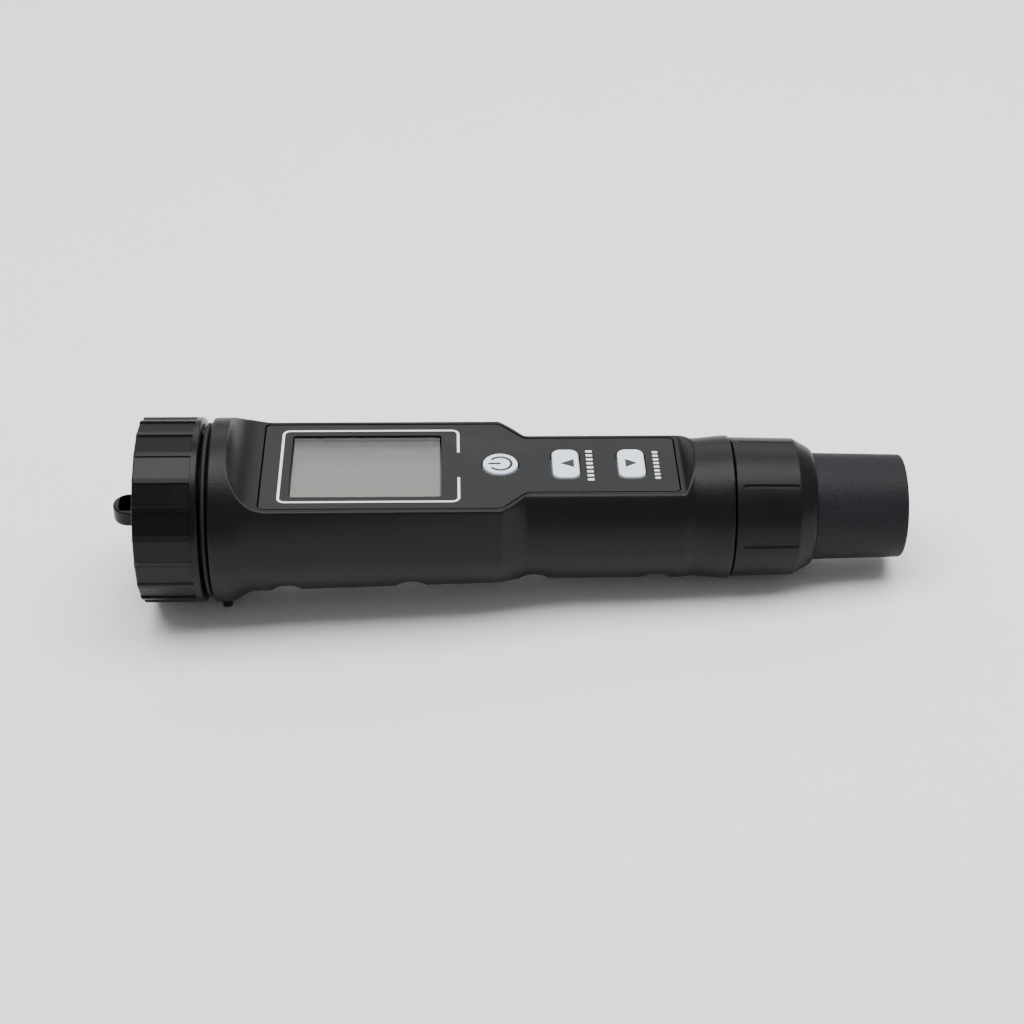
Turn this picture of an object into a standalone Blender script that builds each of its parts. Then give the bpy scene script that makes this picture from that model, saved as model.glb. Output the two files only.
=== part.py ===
"""A pen tester for water, built the way it comes apart on the bench.

Frame: X runs along the pen, the display faces +Z, and every length is in metres. The origin
is the middle of the probe cap's flat end, and the battery cap is at -X.
"""

from math import cos, pi, radians, sin, sqrt

import bmesh
import bpy
from mathutils import Matrix, Vector

MM = 0.001
FIT = 0.3 * MM  # gap between pieces that touch

# Driving dimensions
CAP_RADIUS = 20.3 * MM
CAP_END = -166.5 * MM
CAP_RIM = -152.7 * MM
CAP_WALL = 2.7 * MM
CAP_BORE = 17.0 * MM
CAP_POCKETS = 20
POCKET_WIDTH = 5.2 * MM
POCKET_DEPTH = 0.55 * MM
POCKET_STOP = -154.3 * MM

EYE_REACH = 6.7 * MM
EYE_HALF_WIDTH = 3.6 * MM
EYE_HALF_THICKNESS = 1.9 * MM
EYE_HOLE_HALF_WIDTH = 2.4 * MM
EYE_END_WALL = 1.6 * MM

HEAD_RADIUS = 20.15 * MM
HEAD_START = -150.8 * MM
FLARE_START = -147.4 * MM
FLARE_END = -142.2 * MM
SPIGOT_RADIUS = 16.6 * MM
SPIGOT_START = -161.5 * MM
BAY_RADIUS = 11.9 * MM
BAY_FLOOR = -143.6 * MM

FACE_HEIGHT = 11.57 * MM
SCOOP_RADIUS = 8.6 * MM
SCOOP_FOOT = -138.2 * MM
FACE_HALF_WIDTH = 17.0 * MM
WIDE_HALF_AT_HEAD = 19.6 * MM
WIDE_HALF_AT_STEP = 18.4 * MM
WIDE_DEPTH_AT_HEAD = 16.8 * MM
WIDE_DEPTH_AT_STEP = 15.05 * MM
WIDE_CORNER = 21.5 * MM  # the farthest a corner of the wide section may reach
STEP_START = -88.5 * MM
STEP_END = -83.1 * MM
NARROW_HALF_WIDTH = 15.8 * MM
NARROW_DEPTH = 15.3 * MM
NARROW_CROWN = 16.4 * MM
RAMP_FOOT = -49.0 * MM
RAMP_TOP = -45.2 * MM
RAMP_CREST = 16.9 * MM
NECK_BLEND_START = -49.6 * MM
NECK_BLEND_END = -46.4 * MM
NECK_RADIUS_START = 15.2 * MM
NECK_RADIUS_END = 15.75 * MM
NECK_END = -38.3 * MM
NOSE_RADIUS = 13.2 * MM
NOSE_END = -27.0 * MM
PROBE_BORE = 10.4 * MM

NOTCHES = 4
NOTCH_FIRST = -135.0 * MM
NOTCH_PITCH = 26.9 * MM
NOTCH_HALF_LENGTH = 3.3 * MM
NOTCH_DEPTH_WIDE = 1.25 * MM
NOTCH_DEPTH_NARROW = 0.75 * MM
NOTCH_FADE = (0.30, 0.78)  # sine of the angle below the side, where a notch begins and is full

WALL = 2.6 * MM
CAVITY_START = -141.9 * MM
CAVITY_END = -49.5 * MM
CAVITY_TOP = 8.4 * MM
RIB_PLACES = (-120.0 * MM, -70.0 * MM)
RIB_THICKNESS = 1.2 * MM
RIB_TOP = 0.2 * MM

PANEL_START = -140.0 * MM
PANEL_END = -50.2 * MM
PANEL_WIDE = 15.7 * MM
PANEL_NARROW = 10.0 * MM
PANEL_THICKNESS = 1.6 * MM
PANEL_CORNER = 0.9 * MM
LEDGE = 1.7 * MM

WINDOW_START = -133.6 * MM
WINDOW_END = -101.6 * MM
WINDOW_HALF_WIDTH = 11.15 * MM
LENS_THICKNESS = 1.0 * MM
LENS_TOP = 11.2 * MM

POWER_KEY_X = -88.5 * MM
POWER_KEY_RADIUS = 3.8 * MM
ARROW_KEYS = {"hold_key": -74.3 * MM, "mode_key": -60.0 * MM}
KEY_HALF_LENGTH = 2.9 * MM
KEY_HALF_WIDTH = 5.2 * MM
KEY_CORNER = 1.9 * MM
KEY_TOP = 12.0 * MM
KEY_FLANGE = 0.7 * MM
KEY_BASE = 8.6 * MM
KEY_SHOULDER = 9.5 * MM
KEYPAD_SPAN = (-94.0 * MM, -54.0 * MM)
KEYPAD_HALF_WIDTH = 8.2 * MM
KEYPAD_BOTTOM = 7.0 * MM
KEYPAD_TOP = 7.8 * MM
NUB_RADIUS = 1.5 * MM
NUB_BOTTOM = 6.4 * MM
SWITCH_RADIUS = 2.6 * MM
SWITCH_TOP = 6.1 * MM

DISPLAY_START = -135.0 * MM
DISPLAY_END = -100.2 * MM
DISPLAY_HALF_WIDTH = 12.6 * MM
DISPLAY_BOTTOM = 7.4 * MM
DISPLAY_TOP = 9.3 * MM
DISPLAY_FRAME = 0.9 * MM

COLLAR_START = -38.0 * MM
COLLAR_FRONT = -20.1 * MM
COLLAR_RADIUS = 15.35 * MM
COLLAR_RADIUS_FRONT = 15.05 * MM
COLLAR_MOUTH = 12.1 * MM
COLLAR_GROOVES = 7
GROOVE_PHASE = radians(127.5)
GROOVE_WIDTH = 0.8 * MM
GROOVE_DEPTH = 0.6 * MM
GROOVE_SPAN = (-36.3 * MM, -24.3 * MM)
COLLAR_BORE = 13.5 * MM
COLLAR_CHAMFER = -24.1 * MM
COLLAR_SHOULDER = -22.9 * MM

PROBE_CAP_START = -21.2 * MM
PROBE_CAP_RADIUS = 11.8 * MM
PROBE_CAP_RADIUS_END = 11.35 * MM
PROBE_CAP_BORE = 9.4 * MM
PROBE_CAP_FLOOR = 2.0 * MM
PROBE_CAP_ROUNDING = 0.5 * MM

PROBE_REAR = -50.4 * MM
PROBE_RADIUS = 10.0 * MM
PROBE_FLANGE = (-26.6 * MM, -24.0 * MM)
PROBE_FLANGE_RADIUS = 12.8 * MM
BARREL_RADIUS = 8.5 * MM
BARREL_FRONT = -5.5 * MM
BARREL_CUP = 6.9 * MM
CUP_FLOOR = -10.5 * MM
SEAL_REAR = -43.0 * MM
SEAL_FRONT = -15.5 * MM
SEAL_SEAT = 1.0 * MM  # half the length of a seal's groove
GUARD_SLOTS = 4
GUARD_SLOT_WIDTH = 3.0 * MM

BOARD_TOP = 4.6 * MM
BOARD_THICKNESS = 1.6 * MM
BOARD_START = -136.0 * MM
BOARD_END = -52.0 * MM
ON_BOARD = BOARD_TOP + FIT

CELL_RADIUS = 10.0 * MM
CELL_THICKNESS = 3.2 * MM
CELL_START = -161.2 * MM
CELLS = 4
CARRIER_START = -161.0 * MM
CARRIER_END = -143.9 * MM
CARRIER_RADIUS = 11.6 * MM
CARRIER_FLOOR = 1.0 * MM
LEAD_RADIUS = 1.6 * MM

FOOT_X = -149.0 * MM
FOOT_Y = 7.0 * MM
FOOT_RADIUS = 1.1 * MM
FOOT_TIP = -21.3 * MM
FOOT_ROOT = -17.5 * MM


# Tools -------------------------------------------------------------------------------------


def clear_scene():
    for old in list(bpy.data.objects):
        bpy.data.objects.remove(old)


def finish_material(name, colour, roughness, metallic=0.0):
    """A Principled material of one colour."""
    material = bpy.data.materials.new(name)
    material.use_nodes = True
    shader = material.node_tree.nodes["Principled BSDF"]
    shader.inputs["Base Color"].default_value = (*colour, 1.0)
    shader.inputs["Roughness"].default_value = roughness
    shader.inputs["Metallic"].default_value = metallic
    return material


def add_object(name, bm, material=None, origin=(0.0, 0.0, 0.0)):
    """Makes an object of the mesh, with its origin at the given point."""
    bmesh.ops.recalc_face_normals(bm, faces=bm.faces)
    if bm.calc_volume(signed=True) < 0:
        bmesh.ops.reverse_faces(bm, faces=bm.faces)
    bmesh.ops.translate(bm, verts=bm.verts, vec=-Vector(origin))
    mesh = bpy.data.meshes.new(name)
    bm.to_mesh(mesh)
    bm.free()
    mesh.shade_smooth()
    mesh.set_sharp_from_angle(angle=radians(32))
    if material:
        mesh.materials.append(material)
    made = bpy.data.objects.new(name, mesh)
    made.location = origin
    bpy.context.scene.collection.objects.link(made)
    return made


def apply_tool(target, operation, tool_mesh, label):
    """Cuts the mesh out of the target, or joins it on, with a Boolean modifier."""
    tool = add_object(f"{target.name}_{label}_tool", tool_mesh)
    tool.hide_render = True
    tool.display_type = "WIRE"
    modifier = target.modifiers.new(label, "BOOLEAN")
    modifier.operation = operation
    modifier.solver = "EXACT"
    modifier.object = tool


def turned(profile, sides=48, into=None):
    """Spins a profile of (x, radius) points round the X axis into a closed solid."""
    bm = into or bmesh.new()
    verts = [bm.verts.new((x, 0.0, radius)) for x, radius in profile]
    edges = [bm.edges.new(pair) for pair in zip(verts, verts[1:])]
    if profile[0][1] > 0.0:
        edges.append(bm.edges.new((verts[-1], verts[0])))
    bmesh.ops.spin(
        bm, geom=verts + edges, axis=(1, 0, 0), cent=(0, 0, 0), angle=2 * pi, steps=sides,
        use_merge=True,
    )
    bmesh.ops.remove_doubles(bm, verts=bm.verts, dist=0.001 * MM)
    return bm


def block(low, high, into=None):
    """A box between two corners."""
    bm = into or bmesh.new()
    low, high = Vector(low), Vector(high)
    place = Matrix.Translation((low + high) / 2) @ Matrix.Diagonal((*(high - low), 1.0))
    bmesh.ops.create_cube(bm, size=1.0, matrix=place)
    return bm


def blocks_round_axis(count, low, high, phase=0.0):
    """Equal boxes spaced round the X axis. The corners are those of a box on the +Z side."""
    bm = bmesh.new()
    for index in range(count):
        turn = Matrix.Rotation(phase + 2 * pi * index / count, 4, "X")
        size = Vector(high) - Vector(low)
        middle = (Vector(low) + Vector(high)) / 2
        place = turn @ Matrix.Translation(middle) @ Matrix.Diagonal((*size, 1.0))
        bmesh.ops.create_cube(bm, size=1.0, matrix=place)
    return bm


def post(x, y, radius, bottom, top, sides=24, into=None):
    """A round post that stands along Z."""
    bm = into or bmesh.new()
    bmesh.ops.create_cone(
        bm, cap_ends=True, segments=sides, radius1=radius, radius2=radius, depth=top - bottom,
        matrix=Matrix.Translation((x, y, (bottom + top) / 2)),
    )
    return bm


def prism(corners, bottom, top, rounding=0.0, steps=3, into=None):
    """A flat outline of (x, y) corners, raised along Z, with its upright edges rounded."""
    bm = into or bmesh.new()
    base = bm.faces.new([bm.verts.new((x, y, bottom)) for x, y in corners])
    raised = bmesh.ops.extrude_face_region(bm, geom=[base])["geom"]
    tops = [item for item in raised if isinstance(item, bmesh.types.BMVert)]
    bmesh.ops.translate(bm, verts=tops, vec=(0, 0, top - bottom))
    if rounding:
        upright = {
            edge for vert in tops for edge in vert.link_edges
            if abs(edge.verts[0].co.z - edge.verts[1].co.z) > 0.1 * MM
        }
        bmesh.ops.bevel(
            bm, geom=list(upright), offset=rounding, offset_type="OFFSET", affect="EDGES",
            segments=steps, profile=0.5, material=-1,
        )
    return bm


def rectangle(start, end, half_width):
    return [(start, -half_width), (end, -half_width), (end, half_width), (start, half_width)]


def panel_outline(margin):
    """The front panel's stepped outline, grown by the margin."""
    wide = PANEL_WIDE + margin
    narrow = PANEL_NARROW + margin
    near = [
        (PANEL_START - margin, -wide),
        (STEP_START + margin / 2, -wide),
        (STEP_END + margin / 2, -narrow),
        (PANEL_END + margin, -narrow),
    ]
    return near + [(x, -y) for x, y in reversed(near)]


# Body shape --------------------------------------------------------------------------------


def mix(first, second, share):
    share = min(max(share, 0.0), 1.0)
    return first + (second - first) * share


def ease(value, start, end):
    share = min(max((value - start) / (end - start), 0.0), 1.0)
    return share * share * (3.0 - 2.0 * share)


def oval_radius(angle, half_width, depth, crown):
    """Distance from the axis to a section made of half an oval below and half of one above."""
    height = depth if sin(angle) < 0 else crown
    return 1.0 / sqrt((cos(angle) / half_width) ** 2 + (sin(angle) / height) ** 2)


def shell_radius(x, angle):
    """The housing's outer surface before its face is cut flat, and without its notches."""
    along = (x - FLARE_END) / (STEP_START - FLARE_END)
    depth = mix(WIDE_DEPTH_AT_HEAD, WIDE_DEPTH_AT_STEP, along)
    half_width = mix(WIDE_HALF_AT_HEAD, WIDE_HALF_AT_STEP, along)
    crown = FACE_HEIGHT / sqrt(1.0 - (FACE_HALF_WIDTH / half_width) ** 2)
    limit = mix(HEAD_RADIUS, WIDE_CORNER, ease(x, FLARE_START, SCOOP_FOOT))
    wide = min(limit, oval_radius(angle, half_width, depth, crown))
    narrow = oval_radius(angle, NARROW_HALF_WIDTH, NARROW_DEPTH, NARROW_CROWN)
    neck = mix(NECK_RADIUS_START, NECK_RADIUS_END, ease(x, NECK_BLEND_END, NECK_END))
    if x <= FLARE_END:
        return mix(HEAD_RADIUS, wide, ease(x, FLARE_START, FLARE_END))
    if x <= NECK_BLEND_START:
        return mix(wide, narrow, (x - STEP_START) / (STEP_END - STEP_START))
    return mix(narrow, neck, ease(x, NECK_BLEND_START, NECK_BLEND_END))


def notch_centres():
    return [NOTCH_FIRST + index * NOTCH_PITCH for index in range(NOTCHES)]


def notch_depth(x, angle):
    """How deep the finger notches in the housing's back are at a place."""
    nearest = min(abs(x - centre) for centre in notch_centres())
    arch = max(0.0, 1.0 - (nearest / NOTCH_HALF_LENGTH) ** 2)
    deepest = NOTCH_DEPTH_WIDE if x < STEP_START else NOTCH_DEPTH_NARROW
    return deepest * arch * ease(-sin(angle), *NOTCH_FADE)


def body_radius(x, angle):
    return shell_radius(x, angle) - notch_depth(x, angle)


def skin(stations, sides=48):
    """A closed skin over rings along X. A station is (x, radius as a function of angle)."""
    bm = bmesh.new()
    angles = [2 * pi * i / sides for i in range(sides)]
    rings = [
        [bm.verts.new((x, radius(a) * cos(a), radius(a) * sin(a))) for a in angles]
        for x, radius in stations
    ]
    for near, far in zip(rings, rings[1:]):
        for i in range(sides):
            bm.faces.new((near[i - 1], near[i], far[i], far[i - 1]))
    bm.faces.new(rings[0])
    bm.faces.new(rings[-1])
    return bm


def housing_stations():
    def plain(radius):
        return lambda angle: radius

    def shaped(x):
        return lambda angle: body_radius(x, angle)

    chamfer = 0.4 * MM
    stations = [
        (SPIGOT_START, plain(SPIGOT_RADIUS - chamfer)),
        (SPIGOT_START + chamfer, plain(SPIGOT_RADIUS)),
        (HEAD_START, plain(SPIGOT_RADIUS)),
        (HEAD_START, plain(HEAD_RADIUS - chamfer)),
        (HEAD_START + chamfer, plain(HEAD_RADIUS)),
    ]
    flare_steps = 5
    places = [mix(FLARE_START, FLARE_END, i / flare_steps) for i in range(flare_steps + 1)]
    places += [STEP_START, STEP_END, NECK_BLEND_START, (NECK_BLEND_START + NECK_BLEND_END) / 2]
    places += [NECK_BLEND_END, (NECK_BLEND_END + NECK_END) / 2, NECK_END]
    for centre in notch_centres():
        places += [centre + share * NOTCH_HALF_LENGTH for share in (-1.0, -0.5, 0.0, 0.5, 1.0)]
    stations += [(x, shaped(x)) for x in sorted(places)]
    stations += [(NECK_END, plain(NOSE_RADIUS)), (NOSE_END, plain(NOSE_RADIUS))]
    return stations


def body_slice(start, end, inset, top, places=()):
    """A solid that follows the housing's surface, inset by a wall and cut off at a height."""
    def clipped(x):
        def radius(angle):
            reach = shell_radius(x, angle) - inset
            return min(reach, top / sin(angle)) if sin(angle) > 0.001 else reach
        return radius

    return skin([(x, clipped(x)) for x in (start, *places, end)])


def face_cutter():
    """Everything above the flat face: the scoop at the head, the flat, and the neck ramp."""
    steps = 8
    lift = FACE_HEIGHT + SCOOP_RADIUS
    arc = [radians(180 + 90 * i / steps) for i in range(steps + 1)]
    side = [(SCOOP_FOOT + SCOOP_RADIUS * cos(a), lift + SCOOP_RADIUS * sin(a)) for a in arc]
    side += [(RAMP_FOOT, FACE_HEIGHT), (RAMP_TOP, RAMP_CREST)]
    side += [(RAMP_TOP, 24 * MM), (SCOOP_FOOT - SCOOP_RADIUS, 24 * MM)]
    bm = bmesh.new()
    wall = bm.faces.new([bm.verts.new((x, -24 * MM, z)) for x, z in side])
    pushed = bmesh.ops.extrude_face_region(bm, geom=[wall])["geom"]
    verts = [item for item in pushed if isinstance(item, bmesh.types.BMVert)]
    bmesh.ops.translate(bm, verts=verts, vec=(0, 48 * MM, 0))
    return bm


# Pieces ------------------------------------------------------------------------------------


def build_housing(material):
    housing = add_object("main_housing", skin(housing_stations()), material)
    apply_tool(housing, "DIFFERENCE", face_cutter(), "face")
    sockets = bmesh.new()
    for side in (-1, 1):
        post(FOOT_X, side * FOOT_Y, FOOT_RADIUS + FIT, -25 * MM, FOOT_ROOT + FIT, 20, sockets)
    apply_tool(housing, "DIFFERENCE", sockets, "sockets")
    cavity = body_slice(CAVITY_START, CAVITY_END, WALL, CAVITY_TOP, (STEP_START, STEP_END))
    apply_tool(housing, "DIFFERENCE", cavity, "cavity")
    opening = prism(panel_outline(FIT - LEDGE), 7 * MM, 14 * MM)
    apply_tool(housing, "DIFFERENCE", opening, "opening")
    floor = FACE_HEIGHT - PANEL_THICKNESS - FIT
    recess = prism(panel_outline(FIT), floor, 14 * MM, PANEL_CORNER + FIT)
    apply_tool(housing, "DIFFERENCE", recess, "recess")
    bores = turned([(-170 * MM, 0), (-170 * MM, BAY_RADIUS), (BAY_FLOOR, BAY_RADIUS), (BAY_FLOOR, 0)])
    turned([(-51 * MM, 0), (-51 * MM, PROBE_BORE), (-20 * MM, PROBE_BORE), (-20 * MM, 0)], into=bores)
    apply_tool(housing, "DIFFERENCE", bores, "bores")
    lead = [(-146 * MM, 0), (-146 * MM, LEAD_RADIUS), (-140 * MM, LEAD_RADIUS), (-140 * MM, 0)]
    apply_tool(housing, "DIFFERENCE", turned(lead, 16), "lead")
    for number, x in enumerate(RIB_PLACES):
        rib = body_slice(x, x + RIB_THICKNESS, WALL / 2, RIB_TOP)
        apply_tool(housing, "UNION", rib, f"rib{number}")


def build_feet(material):
    for name, side in (("foot_near", -1), ("foot_far", 1)):
        bm = post(FOOT_X, side * FOOT_Y, FOOT_RADIUS, FOOT_TIP, FOOT_ROOT, 20)
        tip = [e for e in bm.edges if all(v.co.z < FOOT_TIP + 0.01 * MM for v in e.verts)]
        bmesh.ops.bevel(
            bm, geom=tip, offset=0.6 * MM, offset_type="OFFSET", affect="EDGES", segments=3,
            profile=0.5, material=-1,
        )
        add_object(name, bm, material)


def build_battery_cap(material):
    inner = CAP_END + CAP_WALL
    profile = [
        (CAP_END, 0), (CAP_END, CAP_RADIUS - 0.6 * MM), (CAP_END + 0.6 * MM, CAP_RADIUS),
        (CAP_RIM - 1.0 * MM, CAP_RADIUS), (CAP_RIM - 0.3 * MM, CAP_RADIUS - 0.3 * MM),
        (CAP_RIM, CAP_RADIUS - 1.0 * MM), (CAP_RIM, CAP_BORE), (inner, CAP_BORE), (inner, 0),
    ]
    cap = add_object("battery_cap", turned(profile, 60), material)
    pockets = blocks_round_axis(
        CAP_POCKETS,
        (CAP_END - 2 * MM, -POCKET_WIDTH / 2, CAP_RADIUS - POCKET_DEPTH),
        (POCKET_STOP, POCKET_WIDTH / 2, CAP_RADIUS + 1 * MM),
        phase=pi / CAP_POCKETS,
    )
    apply_tool(cap, "DIFFERENCE", pockets, "pockets")
    steps = 10
    turn = [radians(90 + 180 * i / steps) for i in range(steps + 1)]
    centre = CAP_END - EYE_REACH + EYE_HALF_WIDTH
    outline = [(centre + EYE_HALF_WIDTH * cos(a), EYE_HALF_WIDTH * sin(a)) for a in turn]
    outline += [(CAP_END + 1 * MM, -EYE_HALF_WIDTH), (CAP_END + 1 * MM, EYE_HALF_WIDTH)]
    apply_tool(cap, "UNION", prism(outline, -EYE_HALF_THICKNESS, EYE_HALF_THICKNESS), "eye")
    hole = rectangle(CAP_END - EYE_REACH + EYE_END_WALL, CAP_END - 0.2 * MM, EYE_HOLE_HALF_WIDTH)
    apply_tool(cap, "DIFFERENCE", prism(hole, -5 * MM, 5 * MM, 1.0 * MM), "hole")


def ring_profile(x, radius, half_length, half_height, steps=8):
    """The oval section of a rubber ring."""
    turn = [2 * pi * i / steps for i in range(steps)]
    return [(x + half_length * cos(a), radius + half_height * sin(a)) for a in turn]


def build_seals(material):
    middle = (CAP_RIM + HEAD_START) / 2
    seal = turned(ring_profile(middle, 18.1 * MM, 0.62 * MM, 1.0 * MM), 48)
    add_object("battery_cap_seal", seal, material)
    rear = turned(ring_profile(SEAL_REAR, 9.7 * MM, 0.6 * MM, 0.4 * MM, 6), 24)
    add_object("probe_seal_rear", rear, material)
    front = turned(ring_profile(SEAL_FRONT, 8.45 * MM, 0.6 * MM, 0.55 * MM, 6), 24)
    add_object("probe_seal_front", front, material)
    rear_face, front_face = COLLAR_SHOULDER, PROBE_CAP_START - 0.4 * MM
    inside, outside = BARREL_RADIUS + FIT, COLLAR_MOUTH - 0.6 * MM
    gasket = [
        (rear_face, inside), (rear_face, outside), (front_face, outside), (front_face, inside),
    ]
    add_object("probe_gasket", turned(gasket, 28), material)


def build_collar(material, washer_material):
    profile = [
        (COLLAR_START, COLLAR_BORE), (COLLAR_START, COLLAR_RADIUS - 0.3 * MM),
        (COLLAR_START + 0.3 * MM, COLLAR_RADIUS), (COLLAR_CHAMFER, COLLAR_RADIUS_FRONT),
        (COLLAR_FRONT - 1.1 * MM, COLLAR_MOUTH + 1.3 * MM),
        (COLLAR_FRONT - 0.3 * MM, COLLAR_MOUTH + 0.8 * MM), (COLLAR_FRONT, COLLAR_MOUTH + 0.3 * MM),
        (COLLAR_FRONT, COLLAR_MOUTH), (COLLAR_SHOULDER, COLLAR_MOUTH),
        (COLLAR_SHOULDER, COLLAR_BORE),
    ]
    collar = add_object("probe_collar", turned(profile, 56), material)
    grooves = blocks_round_axis(
        COLLAR_GROOVES,
        (GROOVE_SPAN[0], -GROOVE_WIDTH / 2, COLLAR_RADIUS_FRONT - GROOVE_DEPTH),
        (GROOVE_SPAN[1], GROOVE_WIDTH / 2, COLLAR_RADIUS + 1 * MM),
        phase=GROOVE_PHASE - pi / 2,
    )
    apply_tool(collar, "DIFFERENCE", grooves, "grooves")
    front, rear = COLLAR_SHOULDER - FIT, COLLAR_SHOULDER - FIT - 0.5 * MM
    inside, outside = COLLAR_MOUTH + 0.05 * MM, COLLAR_BORE - FIT
    washer = [(rear, inside), (rear, outside), (front, outside), (front, inside)]
    add_object("collar_washer", turned(washer, 36), washer_material)


def build_probe_cap(material, sponge_material):
    profile = [
        (-PROBE_CAP_FLOOR, 0), (-PROBE_CAP_FLOOR, PROBE_CAP_BORE),
        (PROBE_CAP_START, PROBE_CAP_BORE), (PROBE_CAP_START, PROBE_CAP_RADIUS - 0.2 * MM),
        (PROBE_CAP_START + 0.2 * MM, PROBE_CAP_RADIUS),
    ]
    centre = PROBE_CAP_RADIUS_END - PROBE_CAP_ROUNDING
    for turn in (0, 30, 60, 90):
        along = PROBE_CAP_ROUNDING * (sin(radians(turn)) - 1.0)
        profile.append((along, centre + PROBE_CAP_ROUNDING * cos(radians(turn))))
    profile.append((0, 0))
    add_object("probe_cap", turned(profile[::-1], 48), material)
    rear, front = BARREL_FRONT + 0.5 * MM, -PROBE_CAP_FLOOR - FIT
    radius = PROBE_CAP_BORE - 2 * FIT
    sponge = [(rear, 0), (rear, radius), (front, radius), (front, 0)]
    add_object("storage_sponge", turned(sponge, 24), sponge_material)


def build_probe(plastic, glass, steel):
    rear_groove, front_groove = PROBE_RADIUS - 1.0 * MM, BARREL_RADIUS - 0.9 * MM
    profile = [
        (PROBE_REAR, 0), (PROBE_REAR, PROBE_RADIUS - 0.4 * MM), (PROBE_REAR + 0.4 * MM, PROBE_RADIUS),
        (SEAL_REAR - SEAL_SEAT, PROBE_RADIUS), (SEAL_REAR - SEAL_SEAT, rear_groove),
        (SEAL_REAR + SEAL_SEAT, rear_groove), (SEAL_REAR + SEAL_SEAT, PROBE_RADIUS),
        (PROBE_FLANGE[0], PROBE_RADIUS), (PROBE_FLANGE[0], PROBE_FLANGE_RADIUS),
        (PROBE_FLANGE[1], PROBE_FLANGE_RADIUS), (PROBE_FLANGE[1], BARREL_RADIUS),
        (SEAL_FRONT - SEAL_SEAT, BARREL_RADIUS), (SEAL_FRONT - SEAL_SEAT, front_groove),
        (SEAL_FRONT + SEAL_SEAT, front_groove), (SEAL_FRONT + SEAL_SEAT, BARREL_RADIUS),
        (BARREL_FRONT - 0.4 * MM, BARREL_RADIUS), (BARREL_FRONT, BARREL_RADIUS - 0.4 * MM),
        (BARREL_FRONT, BARREL_CUP), (CUP_FLOOR, BARREL_CUP), (CUP_FLOOR, 0),
    ]
    body = add_object("probe_body", turned(profile, 36), plastic)
    slots = blocks_round_axis(
        GUARD_SLOTS,
        (CUP_FLOOR + 1 * MM, -GUARD_SLOT_WIDTH / 2, BARREL_CUP - 2 * MM),
        (BARREL_FRONT + 1.5 * MM, GUARD_SLOT_WIDTH / 2, BARREL_RADIUS + 1.5 * MM),
    )
    apply_tool(body, "DIFFERENCE", slots, "slots")
    seat = CUP_FLOOR + FIT
    radius = 2.6 * MM
    middle = BARREL_FRONT - FIT - radius
    arc = [radians(130 - 25 * i) for i in range(5)]
    bulb = [(seat, 0), (seat, 2.0 * MM)]
    bulb += [(middle + radius * cos(a), radius * sin(a)) for a in arc]
    bulb.append((middle + radius, 0))
    add_object("glass_bulb", turned(bulb, 20), glass)
    radius, tip = 0.9 * MM, -6.2 * MM
    pin = [(seat, 0), (seat, radius), (tip - 0.4 * MM, radius), (tip, radius - 0.4 * MM), (tip, 0)]
    thermo = turned(pin, 14)
    bmesh.ops.translate(thermo, verts=thermo.verts, vec=(0, 4.6 * MM, 0))
    add_object("temperature_pin", thermo, steel)
    plug = block((-55.8 * MM, -4.6 * MM, -2.4 * MM), (-50.7 * MM, 4.6 * MM, 1.4 * MM))
    add_object("probe_plug", plug, plastic)


def build_panel(material):
    floor = FACE_HEIGHT - PANEL_THICKNESS
    panel = add_object(
        "front_panel", prism(panel_outline(0.0), floor, FACE_HEIGHT, PANEL_CORNER), material
    )
    window = rectangle(WINDOW_START - FIT, WINDOW_END + FIT, WINDOW_HALF_WIDTH + FIT)
    holes = prism(window, 8 * MM, 14 * MM, 0.5 * MM)
    for x in ARROW_KEYS.values():
        start, end = x - KEY_HALF_LENGTH - FIT, x + KEY_HALF_LENGTH + FIT
        hole = rectangle(start, end, KEY_HALF_WIDTH + FIT)
        prism(hole, 8 * MM, 14 * MM, KEY_CORNER + FIT, 4, into=holes)
    post(POWER_KEY_X, 0, POWER_KEY_RADIUS + FIT, 8 * MM, 14 * MM, 32, holes)
    apply_tool(panel, "DIFFERENCE", holes, "holes")


def build_lens(material):
    outline = rectangle(WINDOW_START, WINDOW_END, WINDOW_HALF_WIDTH)
    lens = prism(outline, LENS_TOP - LENS_THICKNESS, LENS_TOP, 0.3 * MM, 2)
    add_object("display_lens", lens, material)


def raise_key_cap(bm):
    """Insets the top of a key's retaining flange and raises the key cap from it."""
    top = max(bm.faces, key=lambda face: (face.calc_center_median().z, face.calc_area()))
    bmesh.ops.inset_individual(bm, faces=[top], thickness=KEY_FLANGE, use_even_offset=True)
    raised = bmesh.ops.extrude_face_region(bm, geom=[top])["geom"]
    verts = [item for item in raised if isinstance(item, bmesh.types.BMVert)]
    bmesh.ops.delete(bm, geom=[top], context="FACES_ONLY")
    bmesh.ops.translate(bm, verts=verts, vec=(0, 0, KEY_TOP - KEY_SHOULDER))


def build_keys(material):
    for name, x in ARROW_KEYS.items():
        start, end = x - KEY_HALF_LENGTH - KEY_FLANGE, x + KEY_HALF_LENGTH + KEY_FLANGE
        outline = rectangle(start, end, KEY_HALF_WIDTH + KEY_FLANGE)
        key = prism(outline, KEY_BASE, KEY_SHOULDER, KEY_CORNER + KEY_FLANGE, 4)
        raise_key_cap(key)
        add_object(name, key, material, (x, 0, KEY_BASE))
    power = post(POWER_KEY_X, 0, POWER_KEY_RADIUS + KEY_FLANGE, KEY_BASE, KEY_SHOULDER, 32)
    raise_key_cap(power)
    add_object("power_key", power, material, (POWER_KEY_X, 0, KEY_BASE))


def key_places():
    return {"power": POWER_KEY_X, "hold": ARROW_KEYS["hold_key"], "mode": ARROW_KEYS["mode_key"]}


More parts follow.
